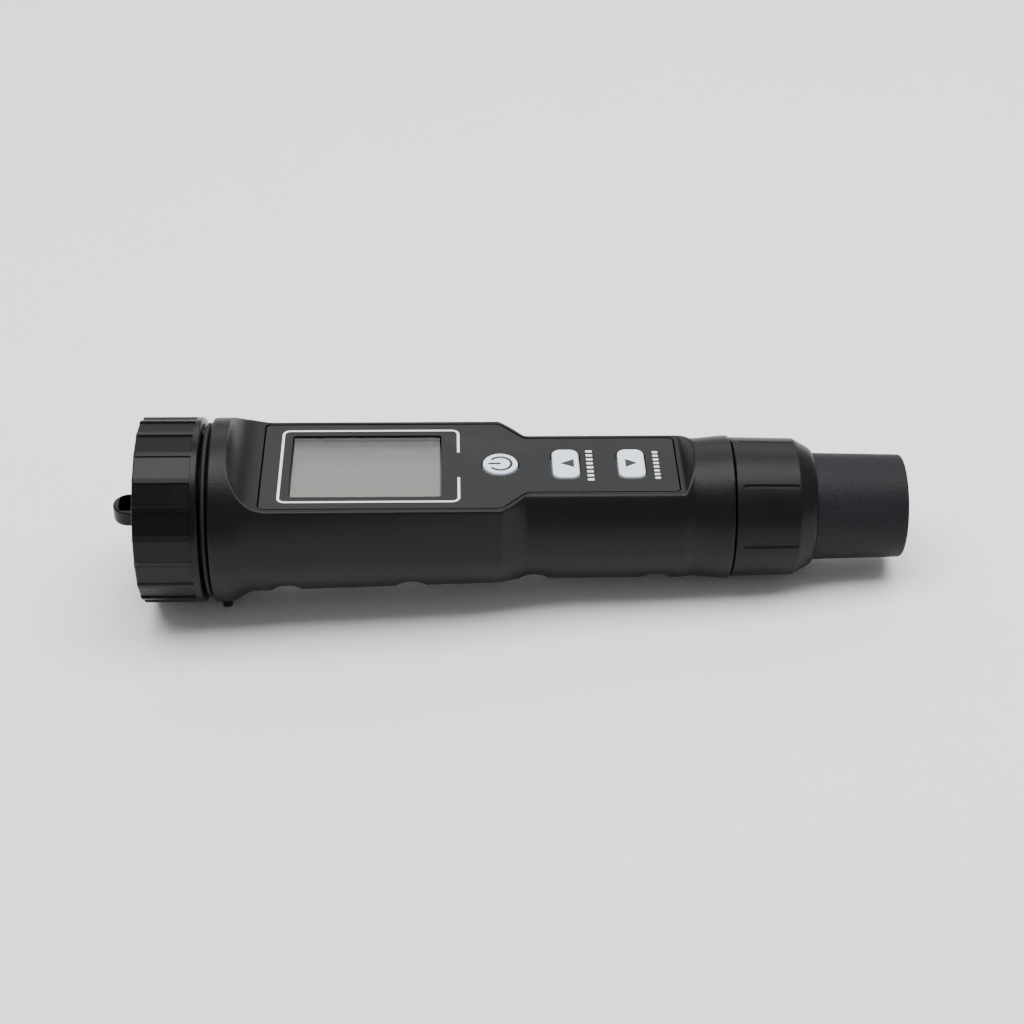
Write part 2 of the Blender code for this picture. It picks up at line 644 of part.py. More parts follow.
def build_keypad(rubber, steel):
    outline = rectangle(*KEYPAD_SPAN, KEYPAD_HALF_WIDTH)
    keypad = add_object(
        "keypad_mat", prism(outline, KEYPAD_BOTTOM, KEYPAD_TOP, 2 * MM), rubber
    )
    nubs = bmesh.new()
    for x in key_places().values():
        post(x, 0, NUB_RADIUS, NUB_BOTTOM, (KEYPAD_BOTTOM + KEYPAD_TOP) / 2, 16, nubs)
    apply_tool(keypad, "UNION", nubs, "nubs")
    for name, x in key_places().items():
        add_object(f"switch_{name}", post(x, 0, SWITCH_RADIUS, ON_BOARD, SWITCH_TOP, 20), steel)


def build_display(glass, plastic, rubber, white):
    start, end, half = DISPLAY_START, DISPLAY_END, DISPLAY_HALF_WIDTH
    cell = block((start, -half, DISPLAY_BOTTOM), (end, half, DISPLAY_TOP))
    add_object("lcd_glass", cell, glass)
    outline = rectangle(start - DISPLAY_FRAME, end + DISPLAY_FRAME, half + DISPLAY_FRAME)
    frame = add_object(
        "lcd_frame", prism(outline, ON_BOARD, DISPLAY_TOP + FIT, 0.6 * MM), plastic
    )
    hole = block((start - FIT, -half - FIT, 3 * MM), (end + FIT, half + FIT, 11 * MM))
    apply_tool(frame, "DIFFERENCE", hole, "hole")
    inset = 0.5 * MM
    under = DISPLAY_BOTTOM - FIT
    for name, side in (("near", -1), ("far", 1)):
        low, high = sorted((side * 10.2 * MM, side * 12.2 * MM))
        strip = block((start + inset, low, ON_BOARD), (end - inset, high, under))
        add_object(f"contact_strip_{name}", strip, rubber)
    sheet = block((start + inset, -9.7 * MM, under - 0.9 * MM), (end - inset, 9.7 * MM, under))
    add_object("lcd_reflector", sheet, white)


def build_electronics(board_material, chip, plastic, steel):
    wide, narrow = 12.9 * MM, 8.6 * MM
    near = [(BOARD_START, -wide), (-91 * MM, -wide), (-87 * MM, -narrow), (BOARD_END, -narrow)]
    outline = near + [(x, -y) for x, y in reversed(near)]
    board = add_object(
        "main_board", prism(outline, BOARD_TOP - BOARD_THICKNESS, BOARD_TOP), board_material
    )
    cradle_top = BOARD_TOP - BOARD_THICKNESS - FIT
    cradle = add_object(
        "board_cradle", prism(rectangle(-134 * MM, -58 * MM, 8.0 * MM), 0.5 * MM, cradle_top, 1 * MM),
        plastic,
    )
    screws = {"board_screw_rear": -96.5 * MM, "board_screw_front": -66.9 * MM}
    board_holes, cradle_holes = bmesh.new(), bmesh.new()
    for name, x in screws.items():
        post(x, 6.2 * MM, 1.2 * MM, 2 * MM, 6 * MM, 16, board_holes)
        post(x, 6.2 * MM, 1.2 * MM, -1 * MM, 4 * MM, 16, cradle_holes)
        screw = post(x, 6.2 * MM, 1.6 * MM, ON_BOARD, ON_BOARD + 1 * MM, 16)
        shank = post(x, 6.2 * MM, 0.8 * MM, 0.8 * MM, ON_BOARD + 0.5 * MM, 12)
        apply_tool(add_object(name, screw, steel), "UNION", shank, "shank")
    apply_tool(board, "DIFFERENCE", board_holes, "holes")
    apply_tool(cradle, "DIFFERENCE", cradle_holes, "holes")
    add_object(
        "processor_chip", block((-125 * MM, -5 * MM, ON_BOARD), (-115 * MM, 5 * MM, 5.9 * MM)), chip
    )
    add_object(
        "amplifier_chip", block((-98.5 * MM, -3 * MM, ON_BOARD), (-94.8 * MM, 2 * MM, 6.0 * MM)), chip
    )
    add_object("buzzer", post(-67.1 * MM, -3 * MM, 3.0 * MM, ON_BOARD, 6.7 * MM, 20), chip)
    socket = add_object(
        "probe_socket", block((-57 * MM, -6 * MM, -3.6 * MM), (-51.2 * MM, 6 * MM, 2.4 * MM)), plastic
    )
    well = block((-56.2 * MM, -5 * MM, -2.8 * MM), (-50 * MM, 5 * MM, 1.8 * MM))
    apply_tool(socket, "DIFFERENCE", well, "well")


def build_coil(material):
    """The conical spring behind the cells: a wire on a rising spiral."""
    start, end = -146.8 * MM, -146.15 * MM
    turns, points = 2.5, 40
    curve = bpy.data.curves.new("battery_spring", "CURVE")
    curve.dimensions = "3D"
    curve.bevel_depth = 0.3 * MM
    curve.bevel_resolution = 1
    curve.use_fill_caps = True
    spline = curve.splines.new("POLY")
    spline.points.add(points - 1)
    for index, point in enumerate(spline.points):
        share = index / (points - 1)
        angle = 2 * pi * turns * share
        radius = mix(6.0 * MM, 3.2 * MM, share)
        x = mix(start, end, share)
        point.co = (x, radius * cos(angle), radius * sin(angle), 1.0)
    curve.materials.append(material)
    made = bpy.data.objects.new("battery_spring", curve)
    bpy.context.scene.collection.objects.link(made)


def build_battery_pack(plastic, cell_material, steel):
    floor = CARRIER_END - CARRIER_FLOOR
    bore = CELL_RADIUS + FIT
    sleeve = [
        (CARRIER_START, bore), (CARRIER_START, CARRIER_RADIUS - FIT),
        (CARRIER_START + FIT, CARRIER_RADIUS), (CARRIER_END, CARRIER_RADIUS),
        (CARRIER_END, LEAD_RADIUS), (floor, LEAD_RADIUS), (floor, bore),
    ]
    add_object("battery_carrier", turned(sleeve, 32), plastic)
    rim = 0.4 * MM
    for index in range(CELLS):
        start = CELL_START + index * (CELL_THICKNESS + FIT)
        end = start + CELL_THICKNESS
        cell = [
            (start, 0), (start, CELL_RADIUS - 1.2 * MM), (start + rim, CELL_RADIUS - 1.0 * MM),
            (start + rim, CELL_RADIUS - rim), (start + 2 * rim, CELL_RADIUS),
            (end - rim, CELL_RADIUS), (end, CELL_RADIUS - rim), (end, 0),
        ]
        add_object(f"coin_cell_{index + 1}", turned(cell, 24), cell_material)
    pin = [
        (-145.5 * MM, 0), (-145.5 * MM, 4.0 * MM), (-145.2 * MM, 4.0 * MM), (-145.2 * MM, 1.2 * MM),
        (-139.5 * MM, 1.2 * MM), (-139.5 * MM, 0),
    ]
    add_object("bay_contact", turned(pin, 16), steel)
    plate = [
        (-163.0 * MM, 0), (-163.0 * MM, 8.0 * MM), (-162.6 * MM, 8.0 * MM), (-162.2 * MM, 5.0 * MM),
        (-161.8 * MM, 2.6 * MM), (-161.5 * MM, 2.0 * MM), (-161.5 * MM, 0),
    ]
    add_object("cap_contact", turned(plate, 24), steel)


def build():
    clear_scene()
    black = finish_material("housing_black", (0.022, 0.022, 0.024), 0.5)
    cap_black = finish_material("cap_black", (0.024, 0.024, 0.026), 0.45)
    collar_black = finish_material("collar_black", (0.022, 0.022, 0.024), 0.42)
    probe_cap_black = finish_material("probe_cap_black", (0.030, 0.031, 0.033), 0.6)
    panel_grey = finish_material("panel_grey", (0.060, 0.060, 0.062), 0.5)
    key_white = finish_material("key_white", (0.70, 0.73, 0.78), 0.45)
    clear = finish_material("clear_lens", (0.55, 0.57, 0.55), 0.08)
    lcd = finish_material("lcd_grey", (0.26, 0.27, 0.24), 0.2)
    rubber = finish_material("seal_rubber", (0.012, 0.012, 0.013), 0.6)
    inner = finish_material("inner_plastic", (0.08, 0.08, 0.085), 0.5)
    white = finish_material("reflector_white", (0.75, 0.76, 0.74), 0.6)
    board = finish_material("board_green", (0.015, 0.12, 0.05), 0.4)
    chip = finish_material("chip_black", (0.02, 0.02, 0.02), 0.35)
    steel = finish_material("contact_steel", (0.62, 0.61, 0.58), 0.3, 1.0)
    cell = finish_material("cell_steel", (0.70, 0.70, 0.70), 0.25, 1.0)
    bulb = finish_material("bulb_glass", (0.75, 0.80, 0.82), 0.05)
    sponge = finish_material("storage_foam", (0.80, 0.72, 0.35), 0.9)
    probe = finish_material("probe_plastic", (0.05, 0.05, 0.055), 0.45)

    build_housing(black)
    build_feet(rubber)
    build_battery_cap(cap_black)
    build_seals(rubber)
    build_collar(collar_black, inner)
    build_probe_cap(probe_cap_black, sponge)
    build_probe(probe, bulb, steel)
    build_panel(panel_grey)
    build_lens(clear)
    build_keys(key_white)
    build_keypad(rubber, steel)
    build_display(lcd, inner, rubber, white)
    build_electronics(board, chip, inner, steel)
    build_coil(steel)
    build_battery_pack(inner, cell, steel)


build()
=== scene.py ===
# %% [markdown]
# # A pen tester for water
#
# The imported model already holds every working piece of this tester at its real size. This lesson
# gives it the finish that a maker would see on the bench: moulded plastics with soft edges, a
# printed front panel, silicone keys and a clear window over the display.
#
# Everything is in metres in one shared frame. X runs along the pen with the probe end at +X, and
# the display faces +Z. We start by loading that frame, because each new piece takes its place
# from it.

# %% Load the frame
from math import cos, pi, radians, sin, sqrt

import bmesh
import bpy
import numpy as np
from mathutils import Matrix, Vector


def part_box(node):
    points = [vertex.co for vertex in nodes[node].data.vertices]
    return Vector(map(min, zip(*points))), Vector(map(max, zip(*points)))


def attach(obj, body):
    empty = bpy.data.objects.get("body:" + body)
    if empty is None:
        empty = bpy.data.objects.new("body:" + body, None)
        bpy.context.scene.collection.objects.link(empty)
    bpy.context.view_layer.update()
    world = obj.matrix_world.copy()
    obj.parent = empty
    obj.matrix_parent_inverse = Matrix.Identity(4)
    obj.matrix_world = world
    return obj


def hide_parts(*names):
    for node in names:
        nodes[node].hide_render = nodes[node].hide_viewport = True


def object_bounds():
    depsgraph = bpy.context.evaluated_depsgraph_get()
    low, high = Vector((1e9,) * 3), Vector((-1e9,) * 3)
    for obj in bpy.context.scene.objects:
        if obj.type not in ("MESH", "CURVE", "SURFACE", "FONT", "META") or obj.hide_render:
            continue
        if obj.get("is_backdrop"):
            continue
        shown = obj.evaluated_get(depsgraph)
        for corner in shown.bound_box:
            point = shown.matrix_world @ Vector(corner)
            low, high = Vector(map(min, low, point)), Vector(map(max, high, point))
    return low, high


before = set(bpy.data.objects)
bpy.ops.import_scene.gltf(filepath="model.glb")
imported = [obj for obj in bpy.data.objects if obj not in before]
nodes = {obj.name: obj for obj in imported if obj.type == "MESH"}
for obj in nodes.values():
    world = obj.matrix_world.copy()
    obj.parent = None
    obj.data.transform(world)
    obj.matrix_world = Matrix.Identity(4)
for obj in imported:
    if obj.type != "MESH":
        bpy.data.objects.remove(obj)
cad_box = [list(corner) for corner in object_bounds()]
MM = 0.001
print("nodes", len(nodes), "box in mm", [[round(v / MM, 1) for v in corner] for corner in cad_box])

# %% [markdown]
# ## The camera
#
# A camera is a point and three directions. We turn a level view down by the elevation, swing it a
# little along the pen, and roll it by a fraction of a degree. The long lens keeps the two ends of
# the pen close to their true sizes.

# %% Place the camera
ELEVATION, SWING, ROLL = radians(36.5), radians(1.78), radians(-0.34)
AIM = Vector((-85.80 * MM, 0.0, 0.0))
DISTANCE, LOWER = 469.2 * MM, 0.954 * MM
FOCAL_MM, SENSOR_MM = 74.81, 36.0

level = Vector((1.0, 0.0, 0.0))
up = Vector((0.0, sin(ELEVATION), cos(ELEVATION)))
back = Vector((0.0, -cos(ELEVATION), sin(ELEVATION)))
right = level * cos(SWING) + back * sin(SWING)
back = back * cos(SWING) - level * sin(SWING)
right, up = right * cos(ROLL) + up * sin(ROLL), up * cos(ROLL) - right * sin(ROLL)

lens = bpy.data.cameras.new("camera")
lens.lens = FOCAL_MM
lens.sensor_width = SENSOR_MM
lens.clip_start = 10 * MM
camera = bpy.data.objects.new("camera", lens)
turn = Matrix((right, up, back)).transposed().to_4x4()
camera.matrix_world = Matrix.Translation(AIM + DISTANCE * back - LOWER * up) @ turn
bpy.context.scene.collection.objects.link(camera)
bpy.context.scene.camera = camera
print("camera at", [round(v, 3) for v in camera.location])

# %% [markdown]
# ## The floor and the light
#
# The pen lies on its two rubber feet and on the edge of its collar, so the floor is the plane
# through those, which slopes by about three degrees against the pen. A black object is seen
# mostly by what it mirrors. A wide soft box overhead draws the broad sheen on upward faces, and
# the pale floor lights the lower side from below. The side towards the camera stays dark.

# %% Lay the floor
COLLAR_REST, FLOOR_GAP, FLOOR_SIZE = -24.3 * MM, 0.05 * MM, 4.0
foot_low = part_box("foot_near")[0]
collar_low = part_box("probe_collar")[0]
rear_rest = Vector(((foot_low.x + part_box("foot_near")[1].x) / 2, 0.0, foot_low.z))
front_rest = Vector((COLLAR_REST, 0.0, collar_low.z))
slope = (front_rest - rear_rest).normalized()

bm = bmesh.new()
bmesh.ops.create_grid(bm, x_segments=1, y_segments=1, size=FLOOR_SIZE / 2)
tilt = Vector((1.0, 0.0, 0.0)).rotation_difference(slope).to_matrix().to_4x4()
place = Matrix.Translation(rear_rest - Vector((0, 0, FLOOR_GAP)))
bmesh.ops.transform(bm, matrix=place @ tilt, verts=bm.verts)
floor_mesh = bpy.data.meshes.new("floor")
bm.to_mesh(floor_mesh)
bm.free()
floor = bpy.data.objects.new("floor", floor_mesh)
bpy.context.scene.collection.objects.link(floor)
floor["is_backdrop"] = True
print("floor slope in degrees", round(slope.angle(Vector((1, 0, 0))) * 180 / pi, 2))

# %% [markdown]
# An area light is a glowing rectangle, and its mirror image is what we see on a glossy black
# curve, so its width and height shape the sheen. One hangs overhead for the flat face, and one
# stands behind the pen for the far edge. A dim even sky keeps the shadows from going black.

# %% Hang the lights
def soft_box(name, place, aim, width, height, watts):
    """An area light that faces a point."""
    lamp = bpy.data.lights.new(name, "AREA")
    lamp.shape = "RECTANGLE"
    lamp.size, lamp.size_y = width, height
    lamp.energy = watts
    made = bpy.data.objects.new(name, lamp)
    made.location = place
    made.rotation_euler = (Vector(aim) - Vector(place)).to_track_quat("-Z", "Y").to_euler()
    bpy.context.scene.collection.objects.link(made)


MIDDLE = (AIM.x, 0.0, 0.0)
soft_box("overhead_box", (-0.09, 0.03, 0.85), MIDDLE, 1.4, 0.6, 17.0)
soft_box("back_box", (-0.09, 1.05, 0.80), MIDDLE, 1.6, 0.7, 7.0)

world = bpy.data.worlds.new("studio")
world.use_nodes = True
sky = world.node_tree.nodes["Background"]
sky.inputs["Color"].default_value = (0.96, 0.98, 1.0, 1.0)
sky.inputs["Strength"].default_value = 0.40
bpy.context.scene.world = world

# %% [markdown]
# ## Writing shaders like sums
#
# A procedural material is arithmetic on numbers that change over a surface. Wiring each sum by
# hand hides the idea, so one small class wraps a node's output and lets us write a + b or 1 - a.
# A second class holds the material and makes any node, colours and vectors included.

# %% A socket that can be added and multiplied
class Value:
    """A node's output that takes part in arithmetic."""

    def __init__(self, paint, socket):
        self.paint = paint
        self.socket = socket

    def maths(self, operation, first, second):
        return self.paint.node("ShaderNodeMath", {"operation": operation}, {0: first, 1: second})

    def __add__(self, other):
        return self.maths("ADD", self, other)

    def __sub__(self, other):
        return self.maths("SUBTRACT", self, other)

    def __rsub__(self, other):
        return self.maths("SUBTRACT", other, self)

    def __mul__(self, other):
        return self.maths("MULTIPLY", self, other)

    __radd__ = __add__
    __rmul__ = __mul__


class Paint:
    """A material and the one way to add nodes to it."""

    def __init__(self, name, **constants):
        self.material = bpy.data.materials.new(name)
        self.material.use_nodes = True
        self.tree = self.material.node_tree
        self.shader = self.tree.nodes["Principled BSDF"]
        for socket, value in constants.items():
            self.shader.inputs[socket.replace("_", " ")].default_value = value

    def feed(self, socket, value):
        if isinstance(value, Value):
            self.tree.links.new(value.socket, socket)
        else:
            socket.default_value = value

    def node(self, kind, settings=None, sockets=None, output=0):
        made = self.tree.nodes.new(kind)
        for name, value in (settings or {}).items():
            if name == "stops":
                made.color_ramp.elements[0].position, made.color_ramp.elements[1].position = value
            else:
                setattr(made, name, value)
        for key, value in (sockets or {}).items():
            self.feed(made.inputs[key], value)
        return Value(self, made.outputs[output])

    def place(self):
        return self.node("ShaderNodeTexCoord", output="Object")

    def noise(self, size, detail=2.0, stretch=(1.0, 1.0, 1.0)):
        """Noise from 0 to 1 whose lumps are about this many metres across."""
        spread = self.node("ShaderNodeMapping", {}, {"Vector": self.place(), "Scale": stretch})
        sockets = {"Vector": spread, "Scale": 1 / size, "Detail": detail}
        return self.node("ShaderNodeTexNoise", {}, sockets)

    def ramp(self, value, start, end):
        """0 below start, 1 above end, and a straight rise between them."""
        sockets = {"Value": value, "From Min": start, "From Max": end}
        return self.node("ShaderNodeMapRange", {"clamp": True}, sockets)

    def blend(self, share, first, second):
        settings = {"data_type": "RGBA"}
        return self.node("ShaderNodeMix", settings, {0: share, 6: (*first, 1.0), 7: (*second, 1.0)}, 2)

    def edges(self, start=0.51, end=0.60):
        """1 on outer edges, where hands and tools rub."""
        sharp = self.node("ShaderNodeNewGeometry", output="Pointiness")
        return self.ramp(sharp, start, end)

    def colour(self, value):
        self.feed(self.shader.inputs["Base Color"], value)

    def roughness(self, value):
        self.feed(self.shader.inputs["Roughness"], value)

    def relief(self, height, depth):
        """Raises the surface by up to depth metres where height is 1."""
        bump = self.node("ShaderNodeBump", {}, {"Height": height, "Distance": depth, "Strength": 1.0})
        self.feed(self.shader.inputs["Normal"], bump)


print("shader helpers ready")

# %% [markdown]
# ## Moulded black plastics
#
# Five black parts sit side by side on this pen and none has the same skin. The housing and the cap
# come from polished tools with a light spark-eroded grain, the collar is smoother, and the probe
# cap is the roughest. One recipe serves them all: a base colour that drifts a little, grain as a
# bump, roughness that follows the grain, and edges that rubbing has made paler and shinier.

# %% One recipe for moulded plastic
def moulded(name, shade, grain, depth, rough, tint=(1.0, 1.0, 1.0), worn=1.6, mottle=0.5, shine=0.24):
    """Plastic of one shade with grain of a size and a depth in metres."""
    paint = Paint(name, Specular_IOR_Level=shine)
    dark = tuple(shade * part for part in tint)
    pale = tuple(shade * part * worn for part in tint)
    cloud = paint.ramp(paint.noise(9 * MM, 3.0), 0.3, 0.7)
    skin = paint.noise(grain, 3.0)
    fine = paint.noise(grain * 0.37, 2.0)
    rub = paint.edges()
    paint.colour(paint.blend(rub * 0.5 + cloud * 0.25 + (fine - 0.5) * mottle, dark, pale))
    paint.roughness(rough + (cloud - 0.5) * 0.06 + (skin - 0.5) * 0.18 - rub * 0.08)
    paint.relief(skin * 0.7 + fine * 0.3, depth)
    return paint.material


housing_skin = moulded("housing_skin", 0.0028, 0.55 * MM, 0.060 * MM, 0.38, worn=2.0, shine=0.20)
cap_skin = moulded("cap_skin", 0.0025, 0.36 * MM, 0.010 * MM, 0.30, shine=0.19)
collar_skin = moulded("collar_skin", 0.0045, 0.50 * MM, 0.030 * MM, 0.38, worn=2.0, shine=0.17)
cover_skin = moulded(
    "cover_skin", 0.0105, 0.75 * MM, 0.150 * MM, 0.52, (0.96, 1.0, 1.16), 2.6, mottle=2.0, shine=0.13
)
inner_skin = moulded("inner_skin", 0.060, 0.30 * MM, 0.015 * MM, 0.50)
probe_skin = moulded("probe_skin", 0.030, 0.30 * MM, 0.010 * MM, 0.34)
chip_skin = moulded("chip_skin", 0.020, 0.12 * MM, 0.006 * MM, 0.42)
print("black plastics made")

# %% [markdown]
# The front panel is a hard-coated plate with a satin face, paler than the housing. The rubber is
# dull and very dark. The keys are white with a blue cast, and a little light passes under their
# surface, which keeps them from looking like chalk.

# %% Panel, rubber, keys and print
panel_skin = moulded("panel_skin", 0.0105, 0.30 * MM, 0.006 * MM, 0.40, worn=1.15, shine=0.16)

rubber = Paint("seal_rubber_skin", Specular_IOR_Level=0.35)
rubber.colour(rubber.blend(rubber.noise(2 * MM), (0.006, 0.006, 0.0065), (0.012, 0.012, 0.0125)))
rubber.roughness(0.5 + rubber.noise(0.6 * MM) * 0.3)
rubber.relief(rubber.noise(0.25 * MM), 0.012 * MM)

key = Paint("key_skin", Subsurface_Weight=0.12, Subsurface_Scale=0.6 * MM)
key.colour(key.blend(key.noise(3 * MM), (0.70, 0.79, 0.90), (0.76, 0.84, 0.94)))
key.roughness(0.38 + key.noise(0.5 * MM) * 0.12)
key.relief(key.noise(0.22 * MM), 0.006 * MM)

white_ink = Paint("white_ink")
white_ink.colour(white_ink.blend(white_ink.noise(0.4 * MM), (0.74, 0.77, 0.79), (0.86, 0.88, 0.89)))
white_ink.roughness(0.5 + white_ink.noise(0.3 * MM) * 0.15)

dark_ink = Paint("dark_ink")
dark_ink.colour(dark_ink.blend(dark_ink.noise(0.4 * MM), (0.004, 0.005, 0.007), (0.008, 0.009, 0.012)))
dark_ink.roughness(0.45 + dark_ink.noise(0.3 * MM) * 0.15)
print("soft parts and inks made")

# %% [markdown]
# A blank liquid crystal cell isn't one flat grey. Its rear reflector shows through as faint
# crosswise bands. Light and shade are painted into its colour as well: the near side, away from
# the light, is painted lighter, warmer and greener, and the far strip is painted dark as the
# shadow of the window's edge. We mix those from the position across the pen.

# %% Display, window and metals
WINDOW_LOW, WINDOW_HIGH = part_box("display_lens")

display = Paint("display_skin", Specular_IOR_Level=0.4)
across = display.node("ShaderNodeSeparateXYZ", {}, {0: display.place()}, "Y")
# Painted shadow: this ramp darkens the far strip of the display as the shade of the window's edge.
shade = display.ramp(across, 1.5 * MM, 8.5 * MM)
# Painted light: the near side of the display is made lighter and warmer than the middle.
near_side_light = display.ramp(across, 5 * MM, WINDOW_LOW.y)
bands = display.noise(0.9 * MM, 1.0, stretch=(0.02, 1.0, 1.0))
lit = display.blend(near_side_light, (0.106, 0.110, 0.098), (0.128, 0.128, 0.100))
# The colour (0.022, 0.027, 0.031) is a painted shadow, mixed over the lit grey where the ramp is 1.
lit_and_painted_shadow = display.node(
    "ShaderNodeMix", {"data_type": "RGBA"}, {0: shade * 0.90, 6: lit, 7: (0.022, 0.027, 0.031, 1.0)}, 2
)
banded = display.node(
    "ShaderNodeMix", {"data_type": "RGBA", "blend_type": "MULTIPLY"}, {0: 0.10, 6: lit_and_painted_shadow, 7: bands}, 2
)
display.colour(banded)
display.roughness(0.16 + display.noise(2 * MM) * 0.05)

window = Paint("window_skin", Transmission_Weight=1.0, IOR=1.35, Base_Color=(0.93, 0.95, 0.94, 1.0))
window.roughness(0.02 + window.noise(4 * MM) * 0.03)

bulb = Paint("bulb_skin", Transmission_Weight=1.0, IOR=1.45, Base_Color=(0.92, 0.97, 1.0, 1.0))
bulb.roughness(0.02 + bulb.noise(1 * MM) * 0.02)


def metal(name, tint, rough, grain):
    """Plated metal with fine drawn lines round the pen's axis."""
    paint = Paint(name, Metallic=1.0)
    lines = paint.noise(grain, 2.0, stretch=(1.0, 0.12, 0.12))
    paint.colour(paint.blend(lines, tuple(0.8 * part for part in tint), tint))
    paint.roughness(rough + lines * 0.15)
    paint.relief(lines, 0.003 * MM)
    return paint.material


steel_skin = metal("steel_skin", (0.62, 0.61, 0.58), 0.22, 0.2 * MM)
cell_skin = metal("cell_skin", (0.72, 0.72, 0.71), 0.18, 0.3 * MM)
print("display, window and metals made")

# %% [markdown]
# Three finishes show only when something is opened. A circuit board is green lacquer with copper
# tracks lying under it, so the tracks are a thresholded noise that also lifts the surface. The
# reflector is matte white, and the sponge is a yellow foam whose pores are sunk deep and given
# painted shade that darkens them.

# %% Board, reflector and sponge
board = Paint("board_skin")
tracks = board.ramp(board.noise(1.1 * MM, 1.0, stretch=(0.35, 1.0, 1.0)), 0.52, 0.56)
board.colour(board.blend(tracks, (0.010, 0.090, 0.038), (0.030, 0.170, 0.070)))
board.roughness(0.34 + tracks * 0.08)
board.relief(tracks, 0.02 * MM)

reflector = Paint("reflector_skin")
reflector.colour(reflector.blend(reflector.noise(1 * MM), (0.70, 0.71, 0.69), (0.80, 0.81, 0.79)))
reflector.roughness(0.55 + reflector.noise(0.4 * MM) * 0.1)

sponge = Paint("sponge_skin", Sheen_Weight=0.2)
pores_with_painted_shade = sponge.ramp(sponge.noise(0.55 * MM, 2.0), 0.38, 0.55)
# Painted shade: the pores are coloured dark where their sunken hollows would be shaded.
sponge.colour(sponge.blend(pores_with_painted_shade, (0.30, 0.24, 0.09), (0.72, 0.62, 0.30)))
sponge.roughness(0.85 + pores_with_painted_shade * 0.1)
sponge.relief(pores_with_painted_shade, 0.15 * MM)
print("inner finishes made")

# %% [markdown]
# ## Round pieces as rolled grids
#
# Most of this pen is turned, but its outer surfaces aren't plain cylinders: the housing has a flat
# face, and the cap and the collar have pockets. A flat grid can be rolled into any of them. Each
# row of the grid becomes a ring along X and each column a line at one angle, and we choose where
# the rows and columns lie, so that they crowd together where an edge is.
#
# Every piece then goes through the same finish: smooth shading that breaks at real edges, and
# weighted normals, which keep a large flat face flat when a narrow bevel runs round it.

# %% Roll a grid into a closed body
def roll(rings, angles):
    """A closed tube. A ring is (x along the pen, radius at each angle, as a list or one number)."""
    count_x, count_a = len(rings) - 1, len(angles)
    bm = bmesh.new()
    bmesh.ops.create_grid(bm, x_segments=count_x, y_segments=count_a, size=0.5)
    for vert in bm.verts:
        row = round((vert.co.x + 0.5) * count_x)
        column = round((vert.co.y + 0.5) * count_a) % count_a
        x, radii = rings[row]
        radius = radii if isinstance(radii, float) else float(radii[column])
        vert.co = (x, radius * cos(angles[column]), radius * sin(angles[column]))
    bmesh.ops.remove_doubles(bm, verts=bm.verts, dist=0.002 * MM)
    rims = [edge for edge in bm.edges if edge.is_boundary]
    if rims:
        bmesh.ops.holes_fill(bm, edges=rims, sides=0)
    bmesh.ops.recalc_face_normals(bm, faces=bm.faces)
    return bm


def finish(name, bm, material, body, replaced=(), crease=32):
    """Makes the mesh an object that rides on a body."""
    bmesh.ops.recalc_face_normals(bm, faces=bm.faces)
    mesh = bpy.data.meshes.new(name)
    bm.to_mesh(mesh)
    bm.free()
    mesh.shade_smooth()
    mesh.set_sharp_from_angle(angle=radians(crease))
    mesh.materials.append(material)
    made = bpy.data.objects.new(name, mesh)
    bpy.context.scene.collection.objects.link(made)
    weighted = made.modifiers.new("weighted_normals", "WEIGHTED_NORMAL")
    weighted.keep_sharp = True
    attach(made, body)
    if replaced:
        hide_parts(*replaced)
    print(name, len(mesh.polygons), "faces")
    return made


def cut(target, tool):
    """Takes one closed bmesh out of another and gives back the result."""
    pair = []
    for bm in (target, tool):
        bmesh.ops.recalc_face_normals(bm, faces=bm.faces)
        mesh = bpy.data.meshes.new("boolean")
        bm.to_mesh(mesh)
        bm.free()
        made = bpy.data.objects.new("boolean", mesh)
        bpy.context.scene.collection.objects.link(made)
        pair.append(made)
    modifier = pair[0].modifiers.new("cut", "BOOLEAN")
    modifier.operation = "DIFFERENCE"
    modifier.solver = "EXACT"
    modifier.object = pair[1]
    shaped = pair[0].evaluated_get(bpy.context.evaluated_depsgraph_get())
    result = bmesh.new()
    result.from_mesh(shaped.to_mesh())
    for made in pair:
        mesh = made.data
        bpy.data.objects.remove(made)
        bpy.data.meshes.remove(mesh)
    return result


print("rolling, finishing and cutting ready")

# %% [markdown]
# ## The housing
#
# The housing's section changes along the pen: round under the cap, a wide oval round the display,
# a narrower oval at the keys, and round again at the neck. The flat face, the scoop behind
# it and the ramp to the neck are cut from that. On the real moulding every such cut ends in a soft
# radius. So we don't cut a mesh. We describe how deep a point is inside the oval and inside the
# cut, take a smooth minimum of the two, and look along each ray for where that depth is zero.

# %% The housing's measures
FACE = 11.57 * MM
HEAD_START, HEAD_RADIUS, WIDE_CORNER = -150.8 * MM, 20.15 * MM, 21.5 * MM
FLARE = (-147.4 * MM, -142.2 * MM)
SCOOP_RADIUS, SCOOP_FOOT = 8.6 * MM, -138.2 * MM
STEP = (-88.5 * MM, -83.1 * MM)
RAMP_FOOT, RAMP_RISE = -49.0 * MM, 1.403
NECK = (-49.6 * MM, -46.4 * MM)
NECK_END, NOSE_RADIUS, NOSE_END = -38.3 * MM, 13.2 * MM, -27.0 * MM
SPIGOT_START, SPIGOT_RADIUS = -161.5 * MM, 16.6 * MM
NOTCHES = [(-135.0 + 26.9 * index) * MM for index in range(4)]
NOTCH_HALF, NOTCH_DEPTHS = 3.3 * MM, (1.25 * MM, 0.75 * MM)
WIDE_DEPTH_MM, WIDE_HALF_MM = (16.8, 15.05), (19.6, 18.4)
FACE_HALF, WIDE_BLEND = 17.0 * MM, 0.8 * MM
NARROW_OVAL = (15.8 * MM, 15.3 * MM, 16.4 * MM)
NECK_RADIUS, NECK_GROWTH = 15.2 * MM, 0.55 * MM
